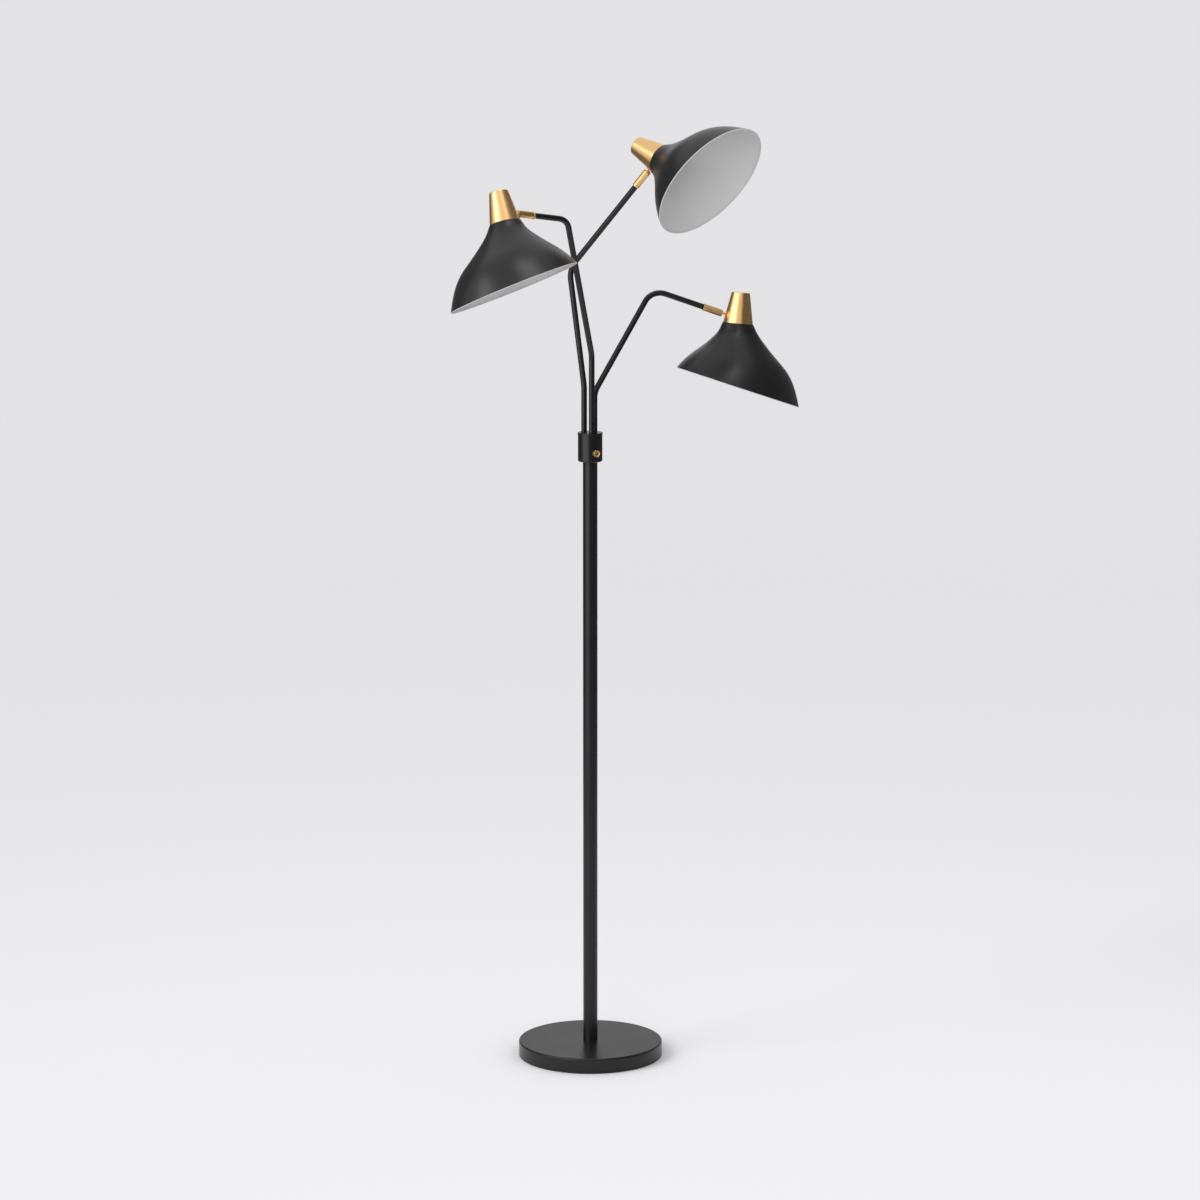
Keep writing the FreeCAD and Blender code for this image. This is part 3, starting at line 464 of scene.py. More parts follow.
# %% Swap the plain materials
slot_of = {}
for name, node in frame["nodes"].items():
    plain = node.data.materials[0].name.split(".")[0]
    slot_of[name] = plain
    node.data.materials[0] = FINISH[plain]
print({slot: list(slot_of.values()).count(slot) for slot in FINISH})


# %% [markdown]
# ## Turned pieces
# Most of this lamp is round.  A lathe piece is an outline of (radius, height) points spun round
# Z.  Real edges are never razor sharp, and it is the small round on an edge that catches the
# light, so the outline helper takes corners with their own fillet radius and puts an arc there.

# %% Outline helper
def rounded(corners, steps=6):
    """Points of an outline of (radius, height, fillet) corners, with arcs at the fillets."""
    points = []
    for index, (x, y, fillet) in enumerate(corners):
        here = Vector((x, y))
        if fillet == 0 or index in (0, len(corners) - 1):
            points.append((x, y))
            continue
        back = (Vector(corners[index - 1][:2]) - here).normalized()
        ahead = (Vector(corners[index + 1][:2]) - here).normalized()
        half = back.angle(ahead) / 2
        centre = here + (back + ahead).normalized() * fillet / math.sin(half)
        start = here + back * fillet / math.tan(half) - centre
        end = here + ahead * fillet / math.tan(half) - centre
        sweep = start.angle(end)
        for step in range(steps + 1):
            share = step / steps
            mix = (start * math.sin((1 - share) * sweep) + end * math.sin(share * sweep))
            points.append(tuple(centre + mix / math.sin(sweep)))
    return points


print(len(rounded([(0, 0, 0), (10, 0, 2), (10, 10, 0)])), "points for one rounded corner")


# %% [markdown]
# The lathe itself copies the outline round Z and joins each copy to the next with four-sided
# faces.  While it does so it writes the UV map that the turning marks need: U goes once round,
# V is the length along the outline in metres.  Corners sharper than 35 degrees stay sharp, and
# a Weighted Normal modifier keeps the flat faces looking flat beside their rounded edges.

# %% Lathe helper
SHARP = math.radians(35)
DOUBLES = 1e-6                  # points closer than this are one point


def mesh_from(name, built):
    """Turn what bmesh has built into a mesh."""
    mesh = bpy.data.meshes.new(name)
    built.to_mesh(mesh)
    built.free()
    return mesh


def turned_mesh(name, outline, turns, radius_at=None):
    """Spin (radius, height) points in millimetres round Z into a closed mesh of quads."""
    built = bmesh.new()
    uv = built.loops.layers.uv.new("turned")
    lengths = [0.0]
    for before, after in zip(outline, outline[1:]):
        lengths.append(lengths[-1] + math.dist(before, after) * MM)
    rings = []
    for radius, height in outline:
        ring = []
        for turn in range(turns):
            angle = math.tau * turn / turns
            reach = radius_at(radius, height, angle) if radius_at else radius
            ring.append(built.verts.new((reach * math.cos(angle) * MM,
                                         reach * math.sin(angle) * MM, height * MM)))
        rings.append(ring)
    for row, (lower, upper) in enumerate(zip(rings, rings[1:])):
        for turn in range(turns):
            following = (turn + 1) % turns
            face = built.faces.new((lower[turn], lower[following], upper[following], upper[turn]))
            corners = ((turn, row), (turn + 1, row), (turn + 1, row + 1), (turn, row + 1))
            for loop, (u, v) in zip(face.loops, corners):
                loop[uv].uv = (u / turns, lengths[v])
    bmesh.ops.remove_doubles(built, verts=built.verts, dist=DOUBLES)
    bmesh.ops.recalc_face_normals(built, faces=built.faces)
    mesh = mesh_from(name, built)
    mesh.shade_smooth()
    mesh.set_sharp_from_angle(angle=SHARP)
    return mesh


# %% [markdown]
# Every rebuilt piece goes through one function.  It moves the mesh to its place, gives it its
# finish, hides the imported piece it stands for, and lets it ride on that piece's body.  A
# second function turns the mesh on the lathe first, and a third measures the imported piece, so
# that the new one has the same length and width.

# %% Piece helpers
def dress(node, mesh, place, *finishes):
    """Stand a mesh, drawn in its own frame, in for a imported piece."""
    mesh.transform(place)
    if not finishes:            # with two finishes, clearing would mix up paint and lining
        mesh.materials.clear()
        finishes = (FINISH[slot_of[node]],)
    for finish in finishes:
        mesh.materials.append(finish)
    piece = put_in_scene(f"{node}_fine", mesh)
    piece.modifiers.new("flat faces stay flat", "WEIGHTED_NORMAL").keep_sharp = True
    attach(piece, frame["nodes"][node]["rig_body"])
    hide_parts(node)
    return piece


def turn_piece(node, place, outline, turns, radius_at=None):
    """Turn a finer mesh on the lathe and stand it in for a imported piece."""
    return dress(node, turned_mesh(f"{node}_fine", outline, turns, radius_at), place)


def measured(node, place):
    """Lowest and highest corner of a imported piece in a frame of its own, in millimetres."""
    back = place.inverted()
    points = np.array([back @ corner.co for corner in frame["nodes"][node].data.vertices]) / MM
    return Vector(points.min(axis=0)), Vector(points.max(axis=0))


print("measured cap:", [round(value, 1) for value in measured("cap_left", HEAD["left"])[1]])

# %% [markdown]
# ## Shades
# The shade is the hard part of this lamp.  It is an *oblique* bell: from a wide round mouth it
# sweeps up to a small neck that sits off to one side and leans.  Cut square to the mouth,
# every section is still a circle, so the bell is a stack of circles whose radius, sideways
# shift and lean change smoothly on the way up.  Eight circles give the form, and a cubic
# spline through them gives as many in between as we like.

# %% Sizes of the bell
RIM_RADIUS, NECK_RADIUS = 124.8, 29.8
BELL_DEPTH = 118.0              # rim plane to the neck's centre
NECK_OFFSET = 38.7              # neck's centre towards the arm side of the rim's centre
BELL_TILT = math.radians(12.9)  # neck plane to rim plane
SHEET = 0.8                     # spun steel
NECK_HOLE = 17.2                # the lamp holder passes through it
BELL_CIRCLES = np.array([       # level, flare, shift towards the neck, share of the tilt
    (0.0, 1.0, 0.0, 0.0),
    (0.161, 0.896, 0.028, 0.0),
    (0.326, 0.761, 0.043, 0.0),
    (0.531, 0.531, 0.147, 0.0),
    (0.636, 0.387, 0.310, 0.0),
    (0.763, 0.215, 0.556, 0.15),
    (0.898, 0.068, 0.849, 0.62),
    (1.0, 0.0, 1.0, 1.0),
])


# %% [markdown]
# A natural cubic spline passes through every circle and bends as little as it can in between.
# Its slopes come from one small set of equations, which `numpy` solves for all four columns at
# once.  The circles are spaced by the distance from one to the next along the wall.

# %% Smooth stack of circles
def spline_through(knots, rows, wanted):
    """Natural cubic spline through rows at knots, read at the wanted places."""
    gaps = np.diff(knots)
    count = len(knots)
    system, right = np.eye(count), np.zeros_like(rows)
    for index in range(1, count - 1):
        before, after = gaps[index - 1], gaps[index]
        system[index, index - 1:index + 2] = before, 2 * (before + after), after
        right[index] = 6 * ((rows[index + 1] - rows[index]) / after
                            - (rows[index] - rows[index - 1]) / before)
    bend = np.linalg.solve(system, right)
    spans = np.clip(np.searchsorted(knots, wanted, side="right") - 1, 0, count - 2)
    result = []
    for place, span in zip(wanted, spans):
        gap = gaps[span]
        a, b = (knots[span + 1] - place) / gap, (place - knots[span]) / gap
        result.append(a * rows[span] + b * rows[span + 1]
                      + ((a ** 3 - a) * bend[span] + (b ** 3 - b) * bend[span + 1]) * gap ** 2 / 6)
    return np.array(result)


wall_steps = np.hypot(np.diff(BELL_CIRCLES[:, 0]) * BELL_DEPTH,
                      np.diff(BELL_CIRCLES[:, 1]) * (RIM_RADIUS - NECK_RADIUS))
wall_knots = np.concatenate(([0.0], np.cumsum(wall_steps)))
BELL_ROWS = spline_through(wall_knots, BELL_CIRCLES, np.linspace(0, wall_knots[-1], 49))
print("wall from rim to neck:", round(wall_knots[-1], 1), "mm in", len(BELL_ROWS), "circles")


# %% [markdown]
# One ring is a matrix and a radius.  The wall goes up the outside, turns in over the neck,
# comes back down the inside, and closes in a small rolled bead at the rim.  The bead is what
# draws the fine pale line round the mouth: the white lining wraps over it, the black stops
# just outside it.

# %% Rings of one shade
BEAD = 1.0                      # radius of the rolled rim
BEAD_START = math.radians(-150) # where the bead leaves the lining
BLACK_FROM = math.radians(10)   # where on the bead the black begins
NECK_ROUND = 0.6                # small round where the wall turns in at the neck
ARCS = 6                        # steps in a quarter of a round


def rim_frame():
    """The rim's frame in the holder's frame: Z square to the rim."""
    tilt = Matrix.Rotation(BELL_TILT, 4, "Y")
    return Matrix.Translation(-(tilt @ Vector((-NECK_OFFSET, 0, BELL_DEPTH)))) @ tilt


def wall_ring(row, inset):
    """One circle of the wall, drawn in by an inset: its matrix and radius."""
    level, flare, shift, lean = row
    centre = Matrix.Translation((-NECK_OFFSET * shift, 0, BELL_DEPTH * level))
    turned = centre @ Matrix.Rotation(-BELL_TILT * lean, 4, "Y")
    radius = NECK_RADIUS + (RIM_RADIUS - NECK_RADIUS) * flare - inset
    return rim_frame() @ turned @ Matrix.Translation((0, 0, -inset * level)), radius


def bead_rings():
    """The rolled rim, from inside the mouth to where it touches the outer wall."""
    lean = math.atan2((BELL_CIRCLES[0, 1] - BELL_CIRCLES[1, 1]) * (RIM_RADIUS - NECK_RADIUS),
                      BELL_CIRCLES[1, 0] * BELL_DEPTH)
    centre = RIM_RADIUS - BEAD * (1 + math.sin(lean)) / math.cos(lean)
    rings = []
    for step in range(2 * ARCS + 1):
        turn = BEAD_START + (lean - BEAD_START) * step / (2 * ARCS)
        lift = rim_frame() @ Matrix.Translation((0, 0, BEAD * (1 + math.sin(turn))))
        rings.append((lift, centre + BEAD * math.cos(turn), turn < BLACK_FROM))
    return rings


def shade_rings():
    """All rings of a shade as (matrix, radius, is it lining), closed from first to last."""
    rings = [(*wall_ring(row, 0.0), False) for row in BELL_ROWS[1:-1]]
    for step in range(ARCS + 1):
        turn = math.pi / 2 * step / ARCS
        rise = Matrix.Translation((0, 0, -NECK_ROUND * (1 - math.sin(turn))))
        rings.append((rise, NECK_RADIUS - NECK_ROUND * (1 - math.cos(turn)), False))
    rings.append((Matrix.Identity(4), NECK_HOLE, False))
    rings.append((Matrix.Translation((0, 0, -SHEET)), NECK_HOLE, True))
    rings += [(*wall_ring(row, SHEET), True) for row in BELL_ROWS[:0:-1]]
    return rings + bead_rings()


print(len(shade_rings()), "rings in one shade")


# %% [markdown]
# The rings are joined like the lathe's, except that the last also joins the first, so the
# shade is one closed skin with a real thickness.  Each band of faces knows whether it is paint
# or lining, and that picks its material.

# %% Build the shades
AROUND = 144


def shade_mesh(name):
    """The oblique bell as a closed mesh of quads: slot 0 outside, slot 1 lining."""
    built = bmesh.new()
    rings = shade_rings()
    grid = []
    for matrix, radius, _ in rings:
        ring = []
        for turn in range(AROUND):
            angle = math.tau * turn / AROUND
            point = matrix @ Vector((radius * math.cos(angle), radius * math.sin(angle), 0))
            ring.append(built.verts.new(point * MM))
        grid.append(ring)
    for row, (_, _, lining) in enumerate(rings):
        above = grid[(row + 1) % len(grid)]
        for turn in range(AROUND):
            following = (turn + 1) % AROUND
            face = built.faces.new((grid[row][turn], grid[row][following],
                                    above[following], above[turn]))
            face.material_index = 1 if lining else 0
    bmesh.ops.recalc_face_normals(built, faces=built.faces)
    mesh = mesh_from(name, built)
    mesh.shade_smooth()
    return mesh


for side in SIDES:
    shade = dress(f"shade_{side}", shade_mesh(f"shade_{side}_fine"), HEAD[side],
                  shade_black, shade_white)
print(shade.name, "has", len(shade.data.polygons), "faces, box",
      [round(value / MM) for value in shade.dimensions])

# %% [markdown]
# ## Brass caps
# A cap is spun over a cone and stands on the shade's neck, slightly smaller than it, so a thin
# dark line shows at the seam.  Its foot is rolled inward by half a millimetre, and its top
# edge has a generous round that catches the light.

# %% Caps
CAP_TOP = 17.6
CAP_SHEET = 1.2
CAP_EDGE, FOOT_EDGE = 2.5, 0.5


def cap_outline(foot, height):
    """Closed outline of the cap: outside from foot to crown, then back down the inside."""
    slope = (foot - CAP_TOP) / height
    ceiling = height - CAP_SHEET
    outside = [(foot - CAP_SHEET / 2, 0.0, 0), (foot, 0.0, FOOT_EDGE),
               (CAP_TOP, height, CAP_EDGE), (0.0, height, 0)]
    inside = [(0.0, ceiling, 0), (foot - CAP_SHEET - slope * ceiling, ceiling, 1.2),
              (foot - CAP_SHEET, 0.4, 0.3), (foot - CAP_SHEET / 2, 0.0, 0)]
    return rounded(outside, steps=8) + rounded(inside, steps=4)


for side in SIDES:
    low, high = measured(f"cap_{side}", HEAD[side])
    cap = turn_piece(f"cap_{side}", HEAD[side], cap_outline(high.x, high.z), 128)
print(cap.name, "is", round(high.z, 1), "mm tall,", round(2 * high.x, 1), "mm wide at its foot")

# %% [markdown]
# ## Arms
# An arm is one steel tube with two bends.  A Bezier curve with a round bevel is a quick way to
# make a bent tube: a curve point at each end of each bend, with handles along the straight
# runs.  For a bend of angle t and radius r, a handle of 4/3 tan(t/4) r makes a Bezier that is
# a circle to the eye.

# %% Sizes of the arms
BEND_RADIUS = 35.0
SWIVEL_LENGTH = 36.0            # tube's end to the ball's centre
ARM_CIRCLE = 11.9               # pole axis to each arm's foot
ARM_FOOT_UNDER_LID = 15.0       # the foot stands this far below the top of the lid
ARM_ROUTES = {                  # foot's azimuth, rise to the first bend, length of the last run
    "left": (-75.0, 150.0, 113.0),
    "upper": (165.0, 88.5, 260.0),
    "right": (45.0, 76.5, 142.0),
}
LID_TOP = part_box("collar_lid")[1].z / MM


def arm_route(side):
    """Foot, first bend, corner and end of an arm's centre line, in millimetres."""
    azimuth, rise, last_run = ARM_ROUTES[side]
    turn = math.radians(azimuth)
    out = Vector((math.cos(turn), math.sin(turn), 0)) * ARM_CIRCLE
    ball = BARREL[side].translation / MM
    reach = BARREL[side].col[2].to_3d()
    foot = out + Vector((0, 0, LID_TOP - ARM_FOOT_UNDER_LID))
    bend = out + Vector((0, 0, LID_TOP + rise))
    return [foot, bend, ball - reach * last_run, ball - reach * SWIVEL_LENGTH]


for side in SIDES:
    foot, bend, corner, end = arm_route(side)
    print(side, "arm:", round((corner - bend).length), "mm between its bends")


# %% [markdown]
# The curve becomes a mesh, so that it can be finished and exported like the rest.  The tube's
# ends are closed; both are hidden, one in the collar and one in the swivel's ring.

# %% Build the arms
ARM_RADIUS = 5.5
END_HANDLE = 20.0               # a handle along a straight run; its length doesn't matter


def tube_mesh(name, route, radius):
    """A bent tube along straight runs with one round bend at each inner point."""
    heading = (route[1] - route[0]).normalized()
    points, handles, headings = [route[0]], [(0.0, END_HANDLE)], [heading]
    for corner, following in zip(route[1:-1], route[2:]):
        leaving = (following - corner).normalized()
        turn = heading.angle(leaving)
        trim = BEND_RADIUS * math.tan(turn / 2)
        handle = 4 / 3 * math.tan(turn / 4) * BEND_RADIUS
        points += [corner - heading * trim, corner + leaving * trim]
        handles += [(END_HANDLE, handle), (handle, END_HANDLE)]
        headings += [heading, leaving]
        heading = leaving
    points.append(route[-1])
    handles.append((END_HANDLE, 0.0))
    headings.append(heading)

    curve = bpy.data.curves.new(name, "CURVE")
    curve.dimensions = "3D"
    curve.bevel_depth = radius * MM
    curve.bevel_resolution = 10
    curve.resolution_u = 16
    curve.use_fill_caps = True
    line = curve.splines.new("BEZIER")
    line.bezier_points.add(len(points) - 1)
    for knot, point, (back, ahead), way in zip(line.bezier_points, points, handles, headings):
        knot.handle_left_type = knot.handle_right_type = "FREE"
        knot.co = point * MM
        knot.handle_left = (point - way * back) * MM
        knot.handle_right = (point + way * ahead) * MM
    carrier = bpy.data.objects.new(name, curve)
    mesh = bpy.data.meshes.new_from_object(carrier)
    bpy.data.objects.remove(carrier)
    mesh.shade_smooth()
    mesh.set_sharp_from_angle(angle=SHARP)
    return mesh


for side in SIDES:
    arm = dress(f"arm_{side}", tube_mesh(f"arm_{side}_fine", arm_route(side), ARM_RADIUS),
                Matrix.Identity(4))
print(arm.name, "has", len(arm.data.polygons), "faces")

# %% [markdown]
# ## Swivels
# A ring and a slotted barrel are screwed on the end of each arm.  A ball sits in the barrel,
# and its stem leaves through the slot, so the shade can tilt along the slot and turn with the
# barrel.  The barrel is a lathe piece with a slot and a round socket cut out of it: two
# Boolean modifiers take them out and a Bevel modifier breaks the new edges.

# %% Sizes of the swivel
RING_LENGTH, RING_RADIUS = 4.0, 7.2
GROOVE_DEPTH = 0.35
BARREL_RADIUS, BARREL_LIP = 6.9, 2.5
SLOT_DEPTH, SLOT_WIDTH = 5.5, 5.6
SOCKET_RADIUS = 4.7
BROKEN_EDGE = 0.25
BALL_RADIUS, STEM_RADIUS = 4.5, 2.5
SHOULDER_RADIUS, SHOULDER_START = 3.6, 7.8
CAP_WALL, CAP_GAP = 26.2, 0.2   # cap's axis to its wall at the stem, and the gap before it
SPIGOT_RADIUS, SPIGOT_LENGTH, SPIGOT_BORE = 3.9, 11.0, 2.4

# %% [markdown]
# The cutters are throwaway objects.  The slot is a box, the socket a fine sphere.  After the
# modifiers are worked out, `new_from_object` keeps only the finished mesh.

# %% Slotted barrel
def cutter(name, shape, **settings):
    """A throwaway object; shape is the bmesh operator that builds it."""
    built = bmesh.new()
    shape(built, **settings)
    return put_in_scene(name, mesh_from(name, built))


def barrel_mesh(name):
    """Slotted barrel round Z, with the ball's centre at the origin."""
    foot = RING_LENGTH - SWIVEL_LENGTH
    outline = rounded([(0.0, foot, 0), (BARREL_RADIUS, foot, 0.4),
                       (BARREL_RADIUS, BARREL_LIP, 0.7), (0.0, BARREL_LIP, 0)], steps=4)
    blank = put_in_scene(name, turned_mesh(name, outline, 64))
    size = Vector((4 * BARREL_RADIUS, SLOT_WIDTH, 2 * SLOT_DEPTH)) * MM
    middle = Vector((0, 0, BARREL_LIP)) * MM
    slot = cutter("slot_cutter", bmesh.ops.create_cube, size=1.0,
                  matrix=Matrix.Translation(middle) @ Matrix.Diagonal(size).to_4x4())
    socket = cutter("socket_cutter", bmesh.ops.create_uvsphere, u_segments=48, v_segments=24,
                    radius=SOCKET_RADIUS * MM)
    for tool in (slot, socket):
        taken = blank.modifiers.new("take out " + tool.name, "BOOLEAN")
        taken.object = tool
        taken.operation = "DIFFERENCE"
        taken.solver = "EXACT"
    broken = blank.modifiers.new("broken edges", "BEVEL")
    broken.width = BROKEN_EDGE * MM
    broken.segments = 2
    broken.limit_method = "ANGLE"
    broken.angle_limit = math.radians(50)
    worked = blank.evaluated_get(bpy.context.evaluated_depsgraph_get())
    mesh = bpy.data.meshes.new_from_object(worked)
    for thing in (blank, slot, socket):
        bpy.data.objects.remove(thing)
    mesh.set_sharp_from_angle(angle=SHARP)
    return mesh


for side in SIDES:
    barrel = dress(f"swivel_barrel_{side}", barrel_mesh(f"swivel_barrel_{side}_fine"),
                   BARREL[side])
print(barrel.name, "has", len(barrel.data.polygons), "faces")

# %% [markdown]
# The ring and the ball are plain lathe pieces.  The ball and its stem are drawn as one
# outline: an arc for the ball, the stem, the shoulder that stops against the cap, and the
# threaded end.

# %% Ring and ball
def ring_outline():
    """Ring at the end of the arm's tube, with a fine groove, and its two spigots."""
    foot, head = -SWIVEL_LENGTH, RING_LENGTH - SWIVEL_LENGTH
    middle = (foot + head) / 2
    return rounded([
        (SPIGOT_BORE, foot - SPIGOT_LENGTH, 0), (SPIGOT_RADIUS, foot - SPIGOT_LENGTH, 0.3),
        (SPIGOT_RADIUS, foot, 0), (RING_RADIUS, foot, 0.4), (RING_RADIUS, middle + 0.9, 0.1),
        (RING_RADIUS - GROOVE_DEPTH, middle + 1.1, 0.1), (RING_RADIUS, middle + 1.3, 0.1),
        (RING_RADIUS, head, 0.3), (SPIGOT_RADIUS, head, 0),
        (SPIGOT_RADIUS, head + SPIGOT_LENGTH, 0.3), (SPIGOT_BORE, head + SPIGOT_LENGTH, 0),
        (SPIGOT_BORE, foot - SPIGOT_LENGTH, 0)], steps=3)


def ball_outline(shoulder_end, stem_end):
    """Ball at the origin with its stem along +Z, up to the end of its thread."""
    leave = math.asin(STEM_RADIUS / BALL_RADIUS)
    steps = 20
    ball = [(BALL_RADIUS * math.sin(angle), -BALL_RADIUS * math.cos(angle))
            for angle in (step / steps * (math.pi - leave) for step in range(steps + 1))]
    return ball + rounded([
        (STEM_RADIUS, SHOULDER_START - 1.5, 0), (STEM_RADIUS, SHOULDER_START, 0.3),
        (SHOULDER_RADIUS, SHOULDER_START, 0.3), (SHOULDER_RADIUS, shoulder_end, 0),
        (STEM_RADIUS, shoulder_end, 0), (STEM_RADIUS, stem_end, 0.4), (0.0, stem_end, 0)], steps=4)


for side in SIDES:
    turn_piece(f"swivel_bush_{side}", BARREL[side], ring_outline(), 64)
    along = HEAD[side] @ Matrix.Translation(Vector((-STEM_REACH, 0, STEM_HEIGHT)) * MM)
    along = along @ Matrix.Rotation(math.pi / 2, 4, "Y")
    low, high = measured(f"swivel_ball_{side}", along)
    outline = ball_outline(STEM_REACH - CAP_WALL - CAP_GAP, high.z)
    ball = turn_piece(f"swivel_ball_{side}", along, outline, 48)
print(ball.name, "reaches", round(high.z, 1), "mm from the ball's centre")


# %% [markdown]
# ## Knob and nut
# The switch has a small brass knob.  Its grip has flutes, made by letting the lathe's radius
# depend on the angle, and its face is dished inside a bright rim.  The nut behind it is
# six-sided: a hexagon is a circle whose radius grows towards the corners.

# %% Knob and nut
KNOB_RADIUS, KNOB_LENGTH, KNOB_EDGE = 6.5, 7.0, 0.8
FLUTES, FLUTE_DEPTH = 16, 0.45
SPINDLE_RADIUS = 2.0
DISH_RADIUS, DISH_DEPTH = 4.7, 1.2
NUT_BORE = 3.5
SIXTH = math.pi / 3


def fluted(radius, height, angle):
    """Radius of the knob's grip: full between the flutes, less inside them."""
    if radius < KNOB_RADIUS - 0.05:
        return radius
    return radius - FLUTE_DEPTH * max(0.0, math.cos(FLUTES * angle)) ** 2


def hexagonal(radius, height, angle):
    """Radius that makes a turned ring six-sided, for outer corners only."""
    if radius < NUT_BORE + 0.5:
        return radius
    return radius * math.cos(SIXTH / 2) / math.cos((angle % SIXTH) - SIXTH / 2)


low, high = measured("switch_knob", SWITCH)
back, dish = high.z - KNOB_LENGTH, high.z - DISH_DEPTH
outline = rounded([
    (0.0, low.z, 0), (SPINDLE_RADIUS, low.z, 0.3), (SPINDLE_RADIUS, back, 0),
    (KNOB_RADIUS, back, 0.5), (KNOB_RADIUS, high.z, KNOB_EDGE), (DISH_RADIUS, high.z, 0.7),
    (DISH_RADIUS - 0.5, dish, 0.4), (0.0, dish, 0)], steps=5)
knob = turn_piece("switch_knob", SWITCH, outline, 192, fluted)

low, high = measured("switch_nut", SWITCH)
outline = rounded([(NUT_BORE, low.z, 0), (high.y, low.z, 0.2), (high.y, high.z, 0.35),
                   (NUT_BORE, high.z, 0), (NUT_BORE, low.z, 0)], steps=3)
nut = turn_piece("switch_nut", SWITCH, outline, 96, hexagonal)
print(knob.name, "and", nut.name, "on the collar")

# %% [markdown]
# ## Inside the shade
# Looking up into a shade you see the lamp holder: a ribbed skirt of phenolic, a ring nut that
# clamps the shade, a brass shell rolled into a coarse thread, and the sprung contact at its
# end.  No lamp is fitted.

# %% Lamp holder and ring nut
HOLDER_RADIUS, HOLDER_BORE, HOLDER_BORE_DEPTH = 17.0, 14.0, 28.0
HOLDER_TOP, BOSS_RADIUS = 22.0, 4.0
FLANGE_RADIUS, FLANGE_TOP = 20.0, 3.0
RIBS, RIB_DEPTH = 30, 0.5
RIBS_FROM, RIBS_TO = -19.0, -6.5        # heights, from the cap's seam
RING_BORE = 17.2
NOTCHES, NOTCH_DEPTH, NOTCHED_FROM = 12, 0.9, 21.5


def ribbed(radius, height, angle):
    """Grip ribs round the holder's skirt, below the shade's ring nut."""
    if radius < HOLDER_RADIUS - 0.01 or not RIBS_FROM <= height <= RIBS_TO:
        return radius
    return radius - RIB_DEPTH * (0.5 + 0.5 * math.cos(RIBS * angle))


def notched(radius, height, angle):
    """Grip notches round the ring nut."""
    if radius < NOTCHED_FROM:
        return radius
    return radius - NOTCH_DEPTH * max(0.0, math.cos(NOTCHES * angle)) ** 6


def holder_outline(low, high):
    """Closed outline of the holder: skirt, flange and boss, then its bore."""
    bore_top = low + HOLDER_BORE_DEPTH
    return rounded([
        (HOLDER_BORE, low, 0), (HOLDER_RADIUS, low, 1.0), (HOLDER_RADIUS, RIBS_FROM + 0.5, 0),
        (HOLDER_RADIUS, RIBS_TO - 0.5, 0), (HOLDER_RADIUS, 0.0, 0), (FLANGE_RADIUS, 0.0, 0.3),
        (FLANGE_RADIUS, FLANGE_TOP, 0.5), (HOLDER_RADIUS, FLANGE_TOP, 0),
        (HOLDER_RADIUS, HOLDER_TOP, 1.5), (BOSS_RADIUS, HOLDER_TOP, 0),
        (BOSS_RADIUS, high, 0.5), (0.0, high, 0)], steps=4) + [
            (0.0, bore_top), (HOLDER_BORE, bore_top), (HOLDER_BORE, low)]


for side in SIDES:
    low, high = measured(f"lamp_holder_{side}", HEAD[side])
    turn_piece(f"lamp_holder_{side}", HEAD[side], holder_outline(low.z, high.z), 180, ribbed)
    low, high = measured(f"shade_ring_{side}", HEAD[side])
    outline = rounded([(RING_BORE, low.z, 0), (high.x, low.z, 0.6), (high.x, high.z, 0.3),
                       (RING_BORE, high.z, 0), (RING_BORE, low.z, 0)], steps=4)
    turn_piece(f"shade_ring_{side}", HEAD[side], outline, 144, notched)
print("lamp holders with", RIBS, "ribs")


# %% [markdown]
# A lamp thread is rolled from thin sheet, so the inside and the outside follow the same wave.
# The wave climbs one pitch in each turn.  That is a lathe piece whose radius depends on the
# height *and* the angle, and it ends level because the wave fades out at both ends.

# %% Screw shell and contact
THREAD_PITCH, THREAD_DEPTH = 3.6, 0.8
SHELL_WALL = 0.6
SHELL_ROWS = 84


def shell_outline(low, high, radius):
    """Up the outside of the shell and down its inside."""
    heights = [low + (high - low) * row / SHELL_ROWS for row in range(SHELL_ROWS + 1)]
    outline = [(radius, height) for height in heights]
    outline += [(radius - SHELL_WALL, height) for height in reversed(heights)]
    return outline + outline[:1]


def rolled_thread(low, high):
    """The lathe's radius for a thread that fades out at both ends."""
    def wave(reach, height, angle):
        end = min(height - low, high - height) / THREAD_PITCH
        turn = math.tau * (height / THREAD_PITCH - angle / math.tau)
        return reach - THREAD_DEPTH * min(1.0, end) * (0.5 - 0.5 * math.cos(turn))
    return wave


for side in SIDES:
    low, high = measured(f"screw_shell_{side}", HEAD[side])
    turn_piece(f"screw_shell_{side}", HEAD[side], shell_outline(low.z, high.z, high.x), 72,
               rolled_thread(low.z, high.z))
    low, high = measured(f"centre_contact_{side}", HEAD[side])
    outline = rounded([(0.0, low.z, 0), (high.x / 2, low.z, 0.8), (high.x, low.z + 2.0, 0.4),
                       (high.x, high.z, 0), (0.0, high.z, 0)], steps=5)
    turn_piece(f"centre_contact_{side}", HEAD[side], outline, 48)
print("thread:", THREAD_PITCH, "mm pitch,", THREAD_DEPTH, "mm deep")

# %% [markdown]
# ## Felt
# A felt disc under the base keeps the floor from scratches.  It is die-cut, so its edge has
# only a small round.

# %% Felt pad
low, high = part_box("base_pad")
radius, top = high.x / MM, high.z / MM
outline = rounded([(radius * share, 0.0, 0) for share in (0.0, 0.3, 0.6, 0.9)]
                  + [(radius, 0.0, 0.5), (radius, top, 0.5), (0.0, top, 0)])
turn_piece("base_pad", Matrix.Identity(4), outline, 128)
print("felt is", round(2 * radius), "mm across")

